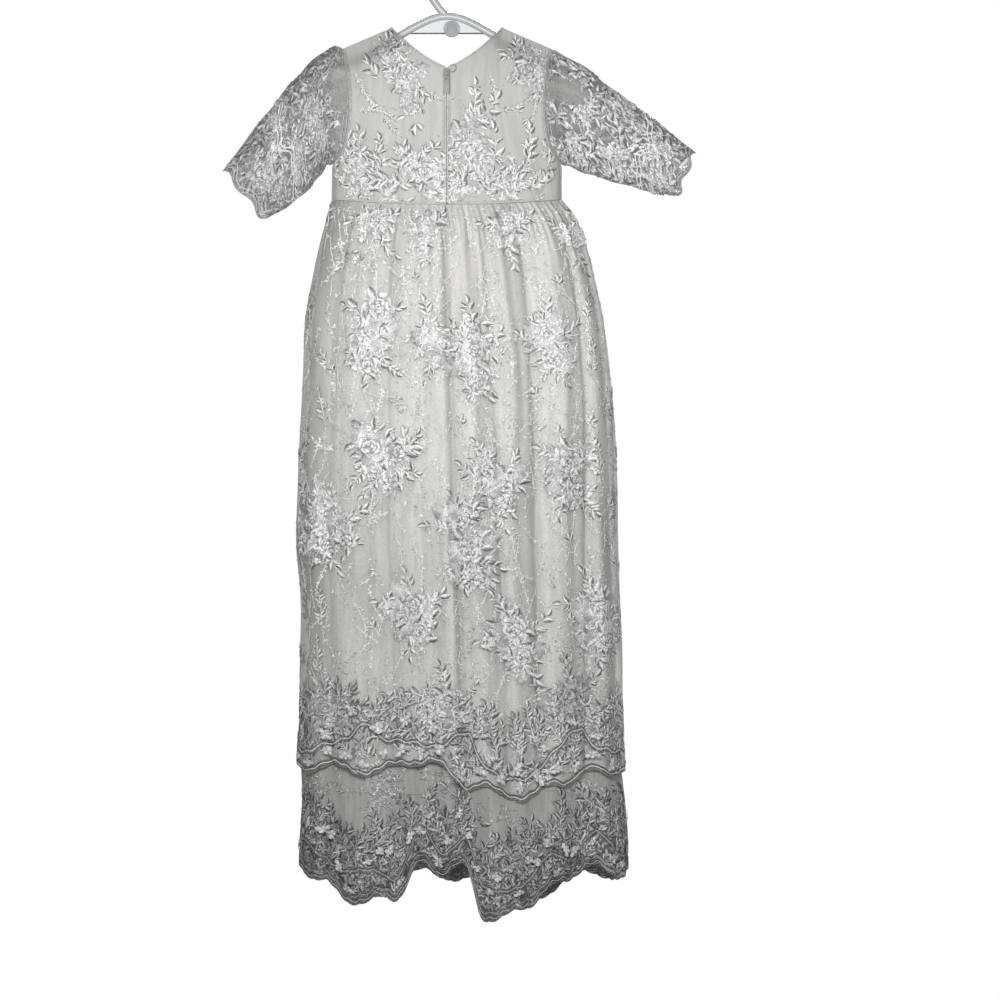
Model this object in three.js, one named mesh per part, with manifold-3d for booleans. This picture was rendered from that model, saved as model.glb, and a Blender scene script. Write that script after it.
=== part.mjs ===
// Christening gown on a child's clothes hanger, in millimetres, +Z up.
// The origin is the inside top of the hanger's hook. The back of the gown, with its zip, faces -Y.
// Left and right are as seen from the back, so left is -X.
import * as THREE from "three";
import { mergeVertices } from "three/addons/utils/BufferGeometryUtils.js";
import ManifoldModule from "manifold-3d";

const manifold = await ManifoldModule();
manifold.setup();

// Cloth walls, and the gap kept between pieces that are sewn together
const seamGap = 0.3;
const liningWall = 1.0;
const laceWall = 1.1;
const sleeveWall = 1.2;
const borderRise = 0.9;

// Hanger: a tube bent to a closed triangle, with a hook, a web under the peak and a round boss on it
const tubeRadius = 4.2;
const tubeSides = 8;
const halfSteps = 30;
const hookSteps = 22;
const peakZ = -60;
const armSlope = 0.43;
const barZ = -164;
const hangerHalfWidth = 153;
const armLength = 127;
const endRound = 6.5;
const halfOverlap = 2;
const hookRadius = 24;
const hookTubeRadius = 4;
const hookStem = [
  { x: 1, z: -62 },
  { x: -10, z: -49 },
  { x: -19, z: -34.5 },
];
const hookTurn = { from: 180, to: -25, step: 41 };
const webBottomZ = -79;
const webThickness = 2.4;
const bossRadius = 8.5;
const bossX = 5;
const bossThickness = 5;

// Bodice: an oval body, closing in at the shoulders over the hanger's arms to a seam above them
const bodiceHalfWidth = 119;
const bodiceHalfDepth = 27;
const shoulderRound = 70;
const shoulderFullness = 34;
const shoulderLift = 12;
const shoulderPinch = 0.42;
const pinchDepth = 12;
const pinchFade = 16;
const pinchX = 44;
const pinchRun = 16;
const ridgeWidth = 0.6;
const neckX = 57;
const shoulderX = 109;
const backNeckZ = -114.5;
const backNeckSag = 5;
const frontNeckZ = -141;
const frontNeckSag = 12;
const underarmZ = -216;
const armholeX = 102;
const sideWaistZ = -253;
const waistDip = 6;
const zipSlit = 1.1;

// Armhole edge, from the underarm up to the shoulder: share of the way up, and how far out it lies
const armhole = [
  { up: 0, x: bodiceHalfWidth },
  { up: 0.1, x: 111 },
  { up: 0.25, x: 105 },
  { up: 0.5, x: armholeX },
  { up: 0.75, x: 103.5 },
  { up: 1, x: shoulderX },
];

// Sleeves, section by section from the armhole to the cuff: upper edge, lower edge and half depth
const leftSleeve = [
  { topX: -119, topZ: -91.5, underX: -126, underZ: -217, halfDepth: 21 },
  { topX: -143, topZ: -108, underX: -133, underZ: -227, halfDepth: 22 },
  { topX: -165, topZ: -130, underX: -144, underZ: -238.5, halfDepth: 21.5 },
  { topX: -186, topZ: -157.5, underX: -157, underZ: -252, halfDepth: 19.5 },
  { topX: -209, topZ: -188, underX: -173.5, underZ: -264.5, halfDepth: 16.5 },
  { topX: -234, topZ: -221.5, underX: -193, underZ: -274, halfDepth: 13 },
];
const rightSleeve = [
  { topX: 118.5, topZ: -100, underX: 127, underZ: -218, halfDepth: 15 },
  { topX: 150, topZ: -117, underX: 145, underZ: -225, halfDepth: 19 },
  { topX: 173.5, topZ: -135, underX: 166, underZ: -230, halfDepth: 21 },
  { topX: 203, topZ: -157.5, underX: 192, underZ: -238.5, halfDepth: 21 },
  { topX: 232, topZ: -180.5, underX: 218.5, underZ: -246, halfDepth: 20 },
  { topX: 260, topZ: -203, underX: 243, underZ: -249, halfDepth: 20 },
];
const cuffScallops = 5;
const cuffScallopDepth = 2.4;
const sleeveGap = 0.9;
const underarmOut = 3.4;
const underarmLift = 1.4;
const sleeveRound = 20;
const sleeveRows = 9;

// Outer form of the skirt, level by level: sideways drift of its middle, half width, half depth
const skirtForm = [
  { z: -253, drift: 0, halfWidth: 121.4, halfDepth: 29.4 },
  { z: -263, drift: 2.5, halfWidth: 126, halfDepth: 32 },
  { z: -279, drift: 5, halfWidth: 133, halfDepth: 36 },
  { z: -300, drift: 6, halfWidth: 140, halfDepth: 39 },
  { z: -337, drift: 7.3, halfWidth: 149, halfDepth: 42 },
  { z: -379, drift: 8, halfWidth: 157, halfDepth: 44 },
  { z: -421, drift: 9.5, halfWidth: 160.5, halfDepth: 45 },
  { z: -484, drift: 11, halfWidth: 165, halfDepth: 47 },
  { z: -547, drift: 11, halfWidth: 168, halfDepth: 49 },
  { z: -610, drift: 10.5, halfWidth: 169.5, halfDepth: 51 },
  { z: -673, drift: 14, halfWidth: 168, halfDepth: 53 },
  { z: -736, drift: 15, halfWidth: 170, halfDepth: 54.5 },
  { z: -799, drift: 15, halfWidth: 170.5, halfDepth: 56 },
  { z: -841, drift: 14.5, halfWidth: 172.5, halfDepth: 58 },
  { z: -883, drift: 17.5, halfWidth: 171.5, halfDepth: 60 },
  { z: -946, drift: 16.7, halfWidth: 173, halfDepth: 62 },
  { z: -1012, drift: 16.7, halfWidth: 174, halfDepth: 63 },
];

// Long folds that fall from the waist: share across the panel at waist and hem, width, rise at both
const backFolds = [
  { waist: 0.08, hem: 0.09, width: 0.032, high: 3, low: 5 },
  { waist: 0.19, hem: 0.23, width: 0.05, high: 5, low: 7 },
  { waist: 0.4, hem: 0.395, width: 0.042, high: 4, low: 5 },
  { waist: 0.525, hem: 0.57, width: 0.04, high: 6, low: 9 },
  { waist: 0.66, hem: 0.66, width: 0.035, high: 4, low: 5 },
  { waist: 0.84, hem: 0.765, width: 0.045, high: 6, low: 7 },
  { waist: 0.93, hem: 0.9, width: 0.03, high: 3, low: 5 },
];
const frontFolds = [
  { waist: 0.09, hem: 0.1, width: 0.034, high: 3, low: 5 },
  { waist: 0.23, hem: 0.21, width: 0.045, high: 5, low: 6 },
  { waist: 0.37, hem: 0.35, width: 0.042, high: 4, low: 7 },
  { waist: 0.51, hem: 0.5, width: 0.05, high: 5, low: 7 },
  { waist: 0.66, hem: 0.67, width: 0.04, high: 4, low: 6 },
  { waist: 0.79, hem: 0.8, width: 0.045, high: 5, low: 7 },
  { waist: 0.92, hem: 0.9, width: 0.032, high: 3, low: 5 },
];

// Gathers under the waist seam
const gathers = 16;
const gatherRise = 3.4;
const gatherFull = 14;
const gatherFade = 110;

// Scalloped lower edge of the upper tier: share across the panel, and its height there
const backTierHem = [
  { at: 0, z: -842 },
  { at: 0.07, z: -854 },
  { at: 0.15, z: -844 },
  { at: 0.24, z: -857 },
  { at: 0.31, z: -845 },
  { at: 0.38, z: -846 },
  { at: 0.44, z: -842 },
  { at: 0.51, z: -872 },
  { at: 0.56, z: -866 },
  { at: 0.65, z: -883 },
  { at: 0.74, z: -865 },
  { at: 0.78, z: -868 },
  { at: 0.86, z: -850 },
  { at: 0.92, z: -858 },
  { at: 1, z: -850 },
];
const frontTierHem = [
  { at: 0, z: -842 },
  { at: 0.08, z: -853 },
  { at: 0.16, z: -846 },
  { at: 0.25, z: -864 },
  { at: 0.34, z: -856 },
  { at: 0.42, z: -874 },
  { at: 0.5, z: -866 },
  { at: 0.58, z: -876 },
  { at: 0.67, z: -858 },
  { at: 0.75, z: -864 },
  { at: 0.84, z: -848 },
  { at: 0.92, z: -857 },
  { at: 1, z: -850 },
];

// Flounce under the upper tier: where it is sewn to the lining, its lower edge and its deep lobes
const flounceTopZ = -806;
const flounceEase = 70;
const flounceUnder = 1.5;
const backFlounceHem = [
  { at: 0, z: -946 },
  { at: 0.05, z: -958 },
  { at: 0.1, z: -965 },
  { at: 0.14, z: -966 },
  { at: 0.2, z: -988 },
  { at: 0.24, z: -989 },
  { at: 0.28, z: -981 },
  { at: 0.33, z: -985 },
  { at: 0.38, z: -948 },
  { at: 0.4, z: -948 },
  { at: 0.44, z: -962 },
  { at: 0.51, z: -950 },
  { at: 0.545, z: -1000 },
  { at: 0.57, z: -1007 },
  { at: 0.63, z: -995 },
  { at: 0.68, z: -992 },
  { at: 0.74, z: -969 },
  { at: 0.79, z: -965 },
  { at: 0.86, z: -950 },
  { at: 0.92, z: -965 },
  { at: 1, z: -950 },
];
const frontFlounceHem = [
  { at: 0, z: -943 },
  { at: 0.06, z: -962 },
  { at: 0.13, z: -956 },
  { at: 0.22, z: -984 },
  { at: 0.31, z: -978 },
  { at: 0.39, z: -958 },
  { at: 0.47, z: -972 },
  { at: 0.55, z: -966 },
  { at: 0.64, z: -994 },
  { at: 0.73, z: -986 },
  { at: 0.81, z: -960 },
  { at: 0.92, z: -968 },
  { at: 1, z: -948 },
];
const backLobes = [
  { at: 0.2, width: 0.1, rise: 10 },
  { at: 0.61, width: 0.085, rise: 17 },
  { at: 0.93, width: 0.045, rise: 7 },
];
const frontLobes = [
  { at: 0.22, width: 0.09, rise: 12 },
  { at: 0.66, width: 0.09, rise: 14 },
];
const lobeGrowth = 75;
const lobeStart = 3;

// Skirt lining
const liningHemZ = -926;
const liningInset = 7;
const liningInsetOver = 130;
const liningFoldShare = 0.3;

// Zip at the centre back: coil behind the slit, slider on top, pull tab hung under the slider's arch
const coilWidth = 5;
const coilThickness = 1.2;
const sliderTopZ = -117;
const sliderLength = 10;
const sliderWidth = 5.4;
const sliderThickness = 2;
const archWidth = 1.4;
const archSpace = 1.7;
const archThickness = 0.9;
const pinRadius = 0.55;
const pullLength = 21;
const pullWidth = 5.2;
const pullThickness = 1;
const pullEyeLength = 6;

const satin = { color: 0xdcdad6, roughness: 0.45, metalness: 0 };
const lace = { color: 0xd2d1cd, roughness: 0.6, metalness: 0 };
const plastic = { color: 0xc9cacb, roughness: 0.3, metalness: 0 };
const metal = { color: 0xd8d8d6, roughness: 0.3, metalness: 0.4 };

const gown = new THREE.Group();
gown.name = "christening_gown";

function add(name, geometry, material) {
  const mesh = new THREE.Mesh(geometry, new THREE.MeshStandardMaterial(material));
  mesh.name = name;
  gown.add(mesh);
}

function mix(a, b, share) {
  return a + (b - a) * share;
}

// 0 up to 1 with a level start and end
function ease(share) {
  const t = Math.min(Math.max(share, 0), 1);
  return t * t * (3 - 2 * t);
}

// Smooth curve through one column of a table, read at a place given in another column
function read(table, place, at, column) {
  const along = at >= table[0][place] === table[table.length - 1][place] >= table[0][place];
  if (!along) return table[0][column];
  let k = 0;
  while (k < table.length - 2 && (at - table[k + 1][place]) * (table[1][place] - table[0][place]) > 0) k++;
  const slope = (i) => {
    const before = table[Math.max(i - 1, 0)];
    const after = table[Math.min(i + 1, table.length - 1)];
    return (after[column] - before[column]) / (after[place] - before[place]);
  };
  const span = table[k + 1][place] - table[k][place];
  const t = Math.min((at - table[k][place]) / span, 1);
  const start = table[k][column];
  const end = table[k + 1][column];
  const bend = (1 - t) * slope(k) * span - t * slope(k + 1) * span + (end - start) * (2 * t - 1);
  return mix(start, end, t) + t * (1 - t) * bend;
}

// Closed wall between two grids of points; outer and inner give the point at column i of row j
function wall(columns, rows, outer, inner, round = false) {
  const across = round ? columns : columns + 1;
  const points = [];
  const faces = [];
  for (const side of [outer, inner]) {
    for (let j = 0; j <= rows; j++) {
      for (let i = 0; i < across; i++) points.push(side(i, j));
    }
  }
  const at = (side, i, j) => side * across * (rows + 1) + j * across + (i % across);
  const quad = (a, b, c, d) => faces.push(a, b, c, a, c, d);
  for (let j = 0; j < rows; j++) {
    for (let i = 0; i < columns; i++) {
      quad(at(0, i, j), at(0, i + 1, j), at(0, i + 1, j + 1), at(0, i, j + 1));
      quad(at(1, i, j), at(1, i, j + 1), at(1, i + 1, j + 1), at(1, i + 1, j));
    }
  }
  for (let i = 0; i < columns; i++) {
    quad(at(0, i, 0), at(1, i, 0), at(1, i + 1, 0), at(0, i + 1, 0));
    quad(at(0, i, rows), at(0, i + 1, rows), at(1, i + 1, rows), at(1, i, rows));
  }
  for (let j = 0; j < rows && !round; j++) {
    quad(at(0, 0, j), at(0, 0, j + 1), at(1, 0, j + 1), at(1, 0, j));
    quad(at(0, columns, j), at(1, columns, j), at(1, columns, j + 1), at(0, columns, j + 1));
  }
  return facingOut(points, faces);
}

// Geometry from points and faces, turned so that every face looks outward
function facingOut(points, faces) {
  let volume = 0;
  for (let f = 0; f < faces.length; f += 3) {
    const [a, b, c] = [points[faces[f]], points[faces[f + 1]], points[faces[f + 2]]];
    volume += a.dot(b.clone().cross(c));
  }
  const geometry = new THREE.BufferGeometry().setFromPoints(points);
  geometry.setIndex(volume > 0 ? faces : faces.toReversed());
  geometry.computeVertexNormals();
  return geometry;
}

function solid(geometry) {
  const bare = new THREE.BufferGeometry();
  bare.setAttribute("position", geometry.getAttribute("position"));
  bare.setIndex(geometry.getIndex());
  const welded = mergeVertices(bare, 1e-4);
  const mesh = new manifold.Mesh({
    numProp: 3,
    vertProperties: new Float32Array(welded.getAttribute("position").array),
    triVerts: new Uint32Array(welded.getIndex().array),
  });
  mesh.merge();
  return new manifold.Manifold(mesh);
}

function fuse(geometries) {
  const { vertProperties, triVerts } = manifold.Manifold.union(geometries.map(solid)).getMesh();
  const geometry = new THREE.BufferGeometry();
  geometry.setAttribute("position", new THREE.BufferAttribute(vertProperties, 3));
  geometry.setIndex(new THREE.BufferAttribute(triVerts, 1));
  geometry.computeVertexNormals();
  return geometry;
}

function tube(curve, radius, steps) {
  const ring = new THREE.Shape();
  ring.absarc(0, 0, radius, 0, Math.PI * 2);
  const options = { steps, curveSegments: tubeSides / 2, bevelEnabled: false, extrudePath: curve };
  return new THREE.ExtrudeGeometry(ring, options);
}

// Flat plate drawn in X and Z, centred on a given depth
function plate(shape, thickness, y) {
  const geometry = new THREE.ExtrudeGeometry(shape, {
    depth: thickness,
    bevelEnabled: false,
    curveSegments: 10,
  });
  geometry.rotateX(Math.PI / 2);
  geometry.translate(0, y + thickness / 2, 0);
  return geometry;
}

function block(x0, x1, y0, y1, z0, z1) {
  const geometry = new THREE.BoxGeometry(x1 - x0, y1 - y0, z1 - z0);
  return geometry.translate((x0 + x1) / 2, (y0 + y1) / 2, (z0 + z1) / 2);
}

// Hanger
function armZ(x) {
  return peakZ - armSlope * Math.abs(x);
}

function hangerHalf(side) {
  const cornerX = hangerHalfWidth - endRound;
  const points = [
    [-halfOverlap, armZ(0)],
    [armLength / 2, armZ(armLength / 2)],
    [armLength, armZ(armLength)],
    [cornerX, armZ(cornerX) - endRound / 2],
    [hangerHalfWidth, mix(armZ(hangerHalfWidth), barZ, 0.45)],
    [cornerX, barZ + endRound],
    [armLength, barZ],
    [armLength / 2, barZ],
    [-halfOverlap, barZ],
  ];
  const curve = new THREE.CatmullRomCurve3(points.map(([x, z]) => new THREE.Vector3(x * side, 0, z)));
  return tube(curve, tubeRadius, halfSteps);
}

function hook() {
  const centreZ = hookTubeRadius - hookRadius;
  const points = hookStem.map(({ x, z }) => [x, z]);
  for (let turn = hookTurn.from; turn >= hookTurn.to; turn -= hookTurn.step) {
    const angle = THREE.MathUtils.degToRad(turn);
    points.push([hookRadius * Math.cos(angle), centreZ + hookRadius * Math.sin(angle)]);
  }
  const curve = new THREE.CatmullRomCurve3(points.map(([x, z]) => new THREE.Vector3(x, 0, z)));
  return tube(curve, hookTubeRadius, hookSteps);
}

const webHalfWidth = (peakZ - webBottomZ) / armSlope;
const webShape = new THREE.Shape();
webShape.moveTo(-webHalfWidth, webBottomZ);
webShape.lineTo(webHalfWidth, webBottomZ);
webShape.lineTo(0, peakZ);
const bossShape = new THREE.Shape();
bossShape.absarc(bossX, webBottomZ + bossRadius - 3, bossRadius, 0, Math.PI * 2);
add(
  "hanger",
  fuse([
    hangerHalf(-1),
    hangerHalf(1),
    hook(),
    plate(webShape, webThickness, 0),
    plate(bossShape, bossThickness, 0),
  ]),
  plastic,
);

// Bodice
function shoulderZ(x) {
  return armZ(x) + shoulderLift;
}

function waistZ(x) {
  return sideWaistZ - waistDip * (1 - (x / bodiceHalfWidth) ** 2);
}

// Share of the bodice's half depth, squared, over a place in X and Z: a wedge over the hanger's arms
// that eases into the oval below and beside the neck, which stays full out to the armhole
function bodiceFullness(x, z) {
  const halfWidth = bodiceHalfWidth + shoulderFullness * ease((z - underarmZ) / 60);
  const depth = shoulderZ(x) - z;
  const drop = Math.min(depth / shoulderRound, 1);
  const oval = (1 - (x / halfWidth) ** 2) * (1 - (1 - drop) ** 2);
  const wedge = (shoulderPinch * (depth + ridgeWidth)) / bodiceHalfDepth;
  const pinched = ease((Math.abs(x) - pinchX) / pinchRun) * (1 - ease((depth - pinchDepth) / pinchFade));
  return mix(Math.sqrt(Math.max(oval, 0)), wedge, pinched) ** 2;
}

// Point of the bodice's form over a place in X and Z, moved out along the form's own slope
function bodicePoint(side, x, z, out) {
  const y = side * bodiceHalfDepth * Math.sqrt(Math.max(bodiceFullness(x, z), 0));
  const step = 0.01;
  const slope = new THREE.Vector3(
    (bodiceFullness(x - step, z) - bodiceFullness(x + step, z)) / (2 * step),
    (2 * y) / bodiceHalfDepth ** 2,
    (bodiceFullness(x, z - step) - bodiceFullness(x, z + step)) / (2 * step),
  ).normalize();
  return new THREE.Vector3(x, y + (side * seamGap) / 2, z).addScaledVector(slope, out);
}

function armholeEdge(up) {
  return [read(armhole, "up", up, "x"), mix(underarmZ, shoulderZ(shoulderX), up)];
}

// Half of a bodice panel: edges by share across from the middle line and share up from the waist
const sideRows = 2;
const rowsUp = [0, 0.11, 0.22, 0.38, 0.54, 0.7, 0.86, 0.92, 0.967, 1];
const bodiceRows = rowsUp.length - 1;
const neckShares = [0, 0.3, 0.58, 0.82, 0.955, 1];
const neckColumns = neckShares.length - 1;
const halfColumns = neckColumns + 3;

function bodicePlace(i, j, middleX, neckZ, neckSag) {
  const across = i / halfColumns;
  const up = rowsUp[j];
  const outX = mix(middleX, bodiceHalfWidth, across);
  const bottom = [outX, waistZ(outX) + seamGap / 2];
  const middle = [middleX, mix(waistZ(middleX) + seamGap / 2, neckZ, up)];
  const topAt = (column) => {
    if (column >= neckColumns) {
      const x = mix(neckX, shoulderX, (column - neckColumns) / (halfColumns - neckColumns));
      return [x, shoulderZ(x)];
    }
    const share = neckShares[column];
    const z = mix(neckZ, shoulderZ(neckX), share) - 4 * neckSag * share * (1 - share);
    return [mix(middleX, neckX, share), z];
  };
  const sideAt = (row) => {
    if (row <= sideRows) return [bodiceHalfWidth, mix(sideWaistZ + seamGap / 2, underarmZ, row / sideRows)];
    return armholeEdge((rowsUp[row] - rowsUp[sideRows]) / (1 - rowsUp[sideRows]));
  };
  const top = topAt(i);
  const side = sideAt(j);
  const blend = (k) => {
    const low = mix([middleX, waistZ(middleX) + seamGap / 2][k], sideAt(0)[k], across);
    const high = mix([middleX, neckZ][k], topAt(halfColumns)[k], across);
    return mix(bottom[k], top[k], up) + mix(middle[k], side[k], across) - mix(low, high, up);
  };
  return [blend(0), blend(1)];
}

function bodicePanel(side, half, from, to) {
  const neckZ = side < 0 ? backNeckZ : frontNeckZ;
  const neckSag = side < 0 ? backNeckSag : frontNeckSag;
  const middleX = side < 0 ? zipSlit / 2 : 0;
  const point = (out) => (i, j) => {
    const column = half === 0 ? i - halfColumns : i;
    const hand = half === 0 ? Math.sign(column) || 1 : half;
    const [x, z] = bodicePlace(Math.abs(column), j, middleX, neckZ, neckSag);
    return bodicePoint(side, x * hand, z, out);
  };
  return wall(half === 0 ? halfColumns * 2 : halfColumns, bodiceRows, point(to), point(from));
}

const laceFrom = liningWall + seamGap;
const laceTo = laceFrom + laceWall;
const panels = [
  { name: "front", side: 1, half: 0 },
  { name: "back_left", side: -1, half: -1 },
  { name: "back_right", side: -1, half: 1 },
];
for (const { name, side, half } of panels) {
  add(`bodice_lining_${name}`, bodicePanel(side, half, 0, liningWall), satin);
  add(`bodice_lace_${name}`, bodicePanel(side, half, laceFrom, laceTo), lace);
}

// Sleeves: each starts just clear of the armhole's edge and ends in a scalloped cuff
function sleevePoint(table, hand, turn, along) {
  const back = -Math.sin(turn);
  const lift = (1 + Math.cos(turn)) / 2;
  const section = (row) => {
    const x = mix(row.underX, row.topX, lift);
    const z = mix(row.underZ, row.topZ, lift);
    return new THREE.Vector3(x, back * row.halfDepth, z);
  };
  const place = along * table.length - 1;
  if (place < 0) {
    const [x, z] = armholeEdge(lift);
    const drop = (1 - lift) ** 3;
    const edge = bodicePoint(Math.sign(back) || 1, x, z, laceTo / 2);
    const startX = (edge.x + sleeveGap + underarmOut * drop) * hand;
    const start = new THREE.Vector3(startX, edge.y, edge.z + underarmLift * drop);
    return start.lerp(section(table[0]), place + 1);
  }
  const rows = table.map((row, k) => ({ ...row, k }));
  const row = {};
  for (const column of ["topX", "topZ", "underX", "underZ", "halfDepth"]) {
    row[column] = read(rows, "k", place, column);
  }
  const axis = new THREE.Vector3(-(row.topZ - row.underZ), 0, row.topX - row.underX).normalize();
  if (axis.x * hand < 0) axis.negate();
  const scallop = along > 0.999 ? cuffScallopDepth * Math.cos(cuffScallops * turn) : 0;
  return section(row).addScaledVector(axis, scallop);
}

function sleeve(table, hand) {
  const grid = (i, j) => sleevePoint(table, hand, (i / sleeveRound) * Math.PI * 2, j / sleeveRows);
  const moved = (out) => (i, j) => {
    const round = grid((i + 1) % sleeveRound, j).sub(grid((i + sleeveRound - 1) % sleeveRound, j));
    const along = grid(i, Math.min(j + 1, sleeveRows)).sub(grid(i, Math.max(j - 1, 0)));
    const slope = along.cross(round).multiplyScalar(hand).normalize();
    return grid(i, j).addScaledVector(slope, out);
  };
  return wall(sleeveRound, sleeveRows, moved(sleeveWall / 2), moved(-sleeveWall / 2), true);
}

add("sleeve_left", sleeve(leftSleeve, -1), lace);
add("sleeve_right", sleeve(rightSleeve, 1), lace);

// Skirt: every layer is a height and an offset from one oval form, by share across from left to right
function angleAt(share, halfWidth, halfDepth) {
  const steps = 160;
  const lengths = [0];
  for (let k = 0; k < steps; k++) {
    const angle = ((k + 0.5) / steps) * Math.PI;
    const step = Math.hypot(halfWidth * Math.sin(angle), halfDepth * Math.cos(angle));
    lengths.push(lengths[k] + step);
  }
  const wanted = share * lengths[steps];
  let k = 0;
  while (k < steps - 1 && lengths[k + 1] < wanted) k++;
  return ((k + (wanted - lengths[k]) / (lengths[k + 1] - lengths[k])) / steps) * Math.PI;
}

function skirtPoint(side, share, z, out) {
  const drift = read(skirtForm, "z", z, "drift");
  const halfWidth = read(skirtForm, "z", z, "halfWidth");
  const halfDepth = read(skirtForm, "z", z, "halfDepth");
  const angle = angleAt(share, halfWidth, halfDepth);
  const slope = new THREE.Vector2(-Math.cos(angle) / halfWidth, (side * Math.sin(angle)) / halfDepth);
  slope.normalize();
  return new THREE.Vector3(
    drift - halfWidth * Math.cos(angle) + slope.x * out,
    side * (halfDepth * Math.sin(angle) + seamGap / 2) + slope.y * out,
    z,
  );
}

function skirtTopZ(share) {
  const angle = angleAt(share, bodiceHalfWidth, bodiceHalfDepth);
  return sideWaistZ - waistDip * Math.sin(angle) ** 2 - seamGap / 2;
}

function foldRise(side, share, z) {
  const depth = skirtTopZ(share) - z;
  const down = Math.min(depth / (sideWaistZ - flounceTopZ), 1.25);
  let rise = 0;
  for (const fold of side < 0 ? backFolds : frontFolds) {
    const away = (share - mix(fold.waist, fold.hem, down)) / fold.width;
    rise += mix(fold.high, fold.low, down) * Math.exp(-away * away) * ease(depth / 60);
  }
  const full = ease(depth / gatherFull) * (1 - ease((depth - gatherFull) / gatherFade));
  const uneven = 0.75 + 0.25 * Math.sin(23 * share + side);
  return rise + gatherRise * full * uneven * (0.5 - 0.5 * Math.cos(2 * Math.PI * gathers * share));
}

function liningOut(side, share, z) {
  const depth = sideWaistZ - z;
  const inset = laceTo - liningWall + liningInset * ease(depth / liningInsetOver);
  return liningFoldShare * foldRise(side, share, z) * ease(depth / liningInsetOver) - inset;
}

function tierHemZ(side, share) {
  return read(side < 0 ? backTierHem : frontTierHem, "at", share, "z");
}

function flounceOut(side, share, z) {
  let lobe = 0;
  for (const { at, width, rise } of side < 0 ? backLobes : frontLobes) {
    lobe += rise * Math.exp(-(((share - at) / width) ** 2));
  }
  const grown = ease((tierHemZ(side, share) - lobeStart - z) / lobeGrowth);
  const under = foldRise(side, share, z) - laceWall - flounceUnder;
  const seam = liningOut(side, share, z) + 2.5 * seamGap + laceWall;
  return mix(seam, under + grown * (lobe + flounceUnder), ease((flounceTopZ - z) / flounceEase));
}

// Panel between two edges given by share across, with the rows' shares of the way down;
// its last two rows carry the corded border, raised on the outside
function skirtPanel(side, columns, rows, topZ, hemZ, out, thickness, border) {
  const point = (less, raised) => (i, j) => {
    const share = i / columns;
    const z = mix(topZ(share), hemZ(share), rows[j]);
    const more = j > rows.length - 3 ? raised : 0;
    return skirtPoint(side, share, z, out(side, share, z) - less + more);
  };
  return wall(columns, rows.length - 1, point(0, border), point(thickness, 0));
}

const columnsPerGather = 4;
const liningColumns = 28;
const flounceColumns = 50;
const tierRows = [0, 0.012, 0.032, 0.08, 0.19, 0.38, 0.62, 0.86, 0.97, 1];
const liningRows = [0, 0.02, 0.06, 0.16, 0.33, 0.55, 0.78, 1];
const flounceRows = [0, 0.22, 0.42, 0.62, 0.78, 0.9, 1];
for (const { name, side } of [{ name: "back", side: -1 }, { name: "front", side: 1 }]) {
  const tierHem = (share) => tierHemZ(side, share);
  const flounceHem = (share) => read(side < 0 ? backFlounceHem : frontFlounceHem, "at", share, "z");
  const lining = skirtPanel(
    side,
    liningColumns,
    liningRows,
    skirtTopZ,
    () => liningHemZ,
    liningOut,
    liningWall,
    0,
  );
  const tier = skirtPanel(
    side,
    gathers * columnsPerGather,
    tierRows,
    skirtTopZ,
    tierHem,
    foldRise,
    laceWall,
    borderRise,
  );
  const flounce = skirtPanel(
    side,
    flounceColumns,
    flounceRows,
    () => flounceTopZ,
    flounceHem,
    flounceOut,
    laceWall,
    borderRise,
  );
  add(`skirt_lining_${name}`, lining, satin);
  add(`skirt_lace_${name}`, tier, lace);
  add(`flounce_${name}`, flounce, lace);
}

// Zip
const backY = -bodiceHalfDepth - seamGap / 2;
const coilY = backY + 2 * seamGap + coilThickness / 2;
const coil = block(
  -coilWidth / 2,
  coilWidth / 2,
  coilY - coilThickness / 2,
  coilY + coilThickness / 2,
  waistZ(0) + 2,
  backNeckZ - 1,
);
add("zip_coil", coil, metal);

const sliderY = backY - laceTo - seamGap;
const faceY = sliderY - sliderThickness;
const archTopZ = sliderTopZ - 2;
const archBottomZ = sliderTopZ - sliderLength + 2;
const archY = faceY - archSpace - archThickness;
const neck = block(-0.25, 0.25, sliderY - 0.5, backY - 0.05, sliderTopZ - sliderLength + 1, sliderTopZ - 1);
const body = block(-sliderWidth / 2, sliderWidth / 2, faceY, sliderY, sliderTopZ - sliderLength, sliderTopZ);
const postUp = block(-archWidth / 2, archWidth / 2, archY, faceY + 0.5, archTopZ - 1, archTopZ);
const postDown = block(-archWidth / 2, archWidth / 2, archY, faceY + 0.5, archBottomZ, archBottomZ + 1);
const archBar = block(-archWidth / 2, archWidth / 2, archY, archY + archThickness, archBottomZ, archTopZ);
add("zip_slider", fuse([neck, body, postUp, postDown, archBar]), metal);

const pinY = faceY - archSpace / 2;
const pinZ = (archTopZ + archBottomZ) / 2;
const pullShape = new THREE.Shape();
pullShape.moveTo(-pullWidth / 2, pinZ);
pullShape.lineTo(-pullWidth / 2 + 0.3, pinZ - pullEyeLength);
pullShape.lineTo(-pullWidth / 2, pinZ - pullLength + 2);
pullShape.lineTo(-pullWidth / 2 + 1.2, pinZ - pullLength);
pullShape.lineTo(pullWidth / 2 - 1.2, pinZ - pullLength);
pullShape.lineTo(pullWidth / 2, pinZ - pullLength + 2);
pullShape.lineTo(pullWidth / 2 - 0.3, pinZ - pullEyeLength);
pullShape.lineTo(pullWidth / 2, pinZ);
const eye = pullWidth / 2 - 0.9;
pullShape.lineTo(eye, pinZ);
pullShape.lineTo(eye, pinZ - pullEyeLength);
pullShape.lineTo(-eye, pinZ - pullEyeLength);
pullShape.lineTo(-eye, pinZ);
const pin = new THREE.CylinderGeometry(pinRadius, pinRadius, pullWidth, 10);
pin.rotateZ(Math.PI / 2);
pin.translate(0, pinY, pinZ);
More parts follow.
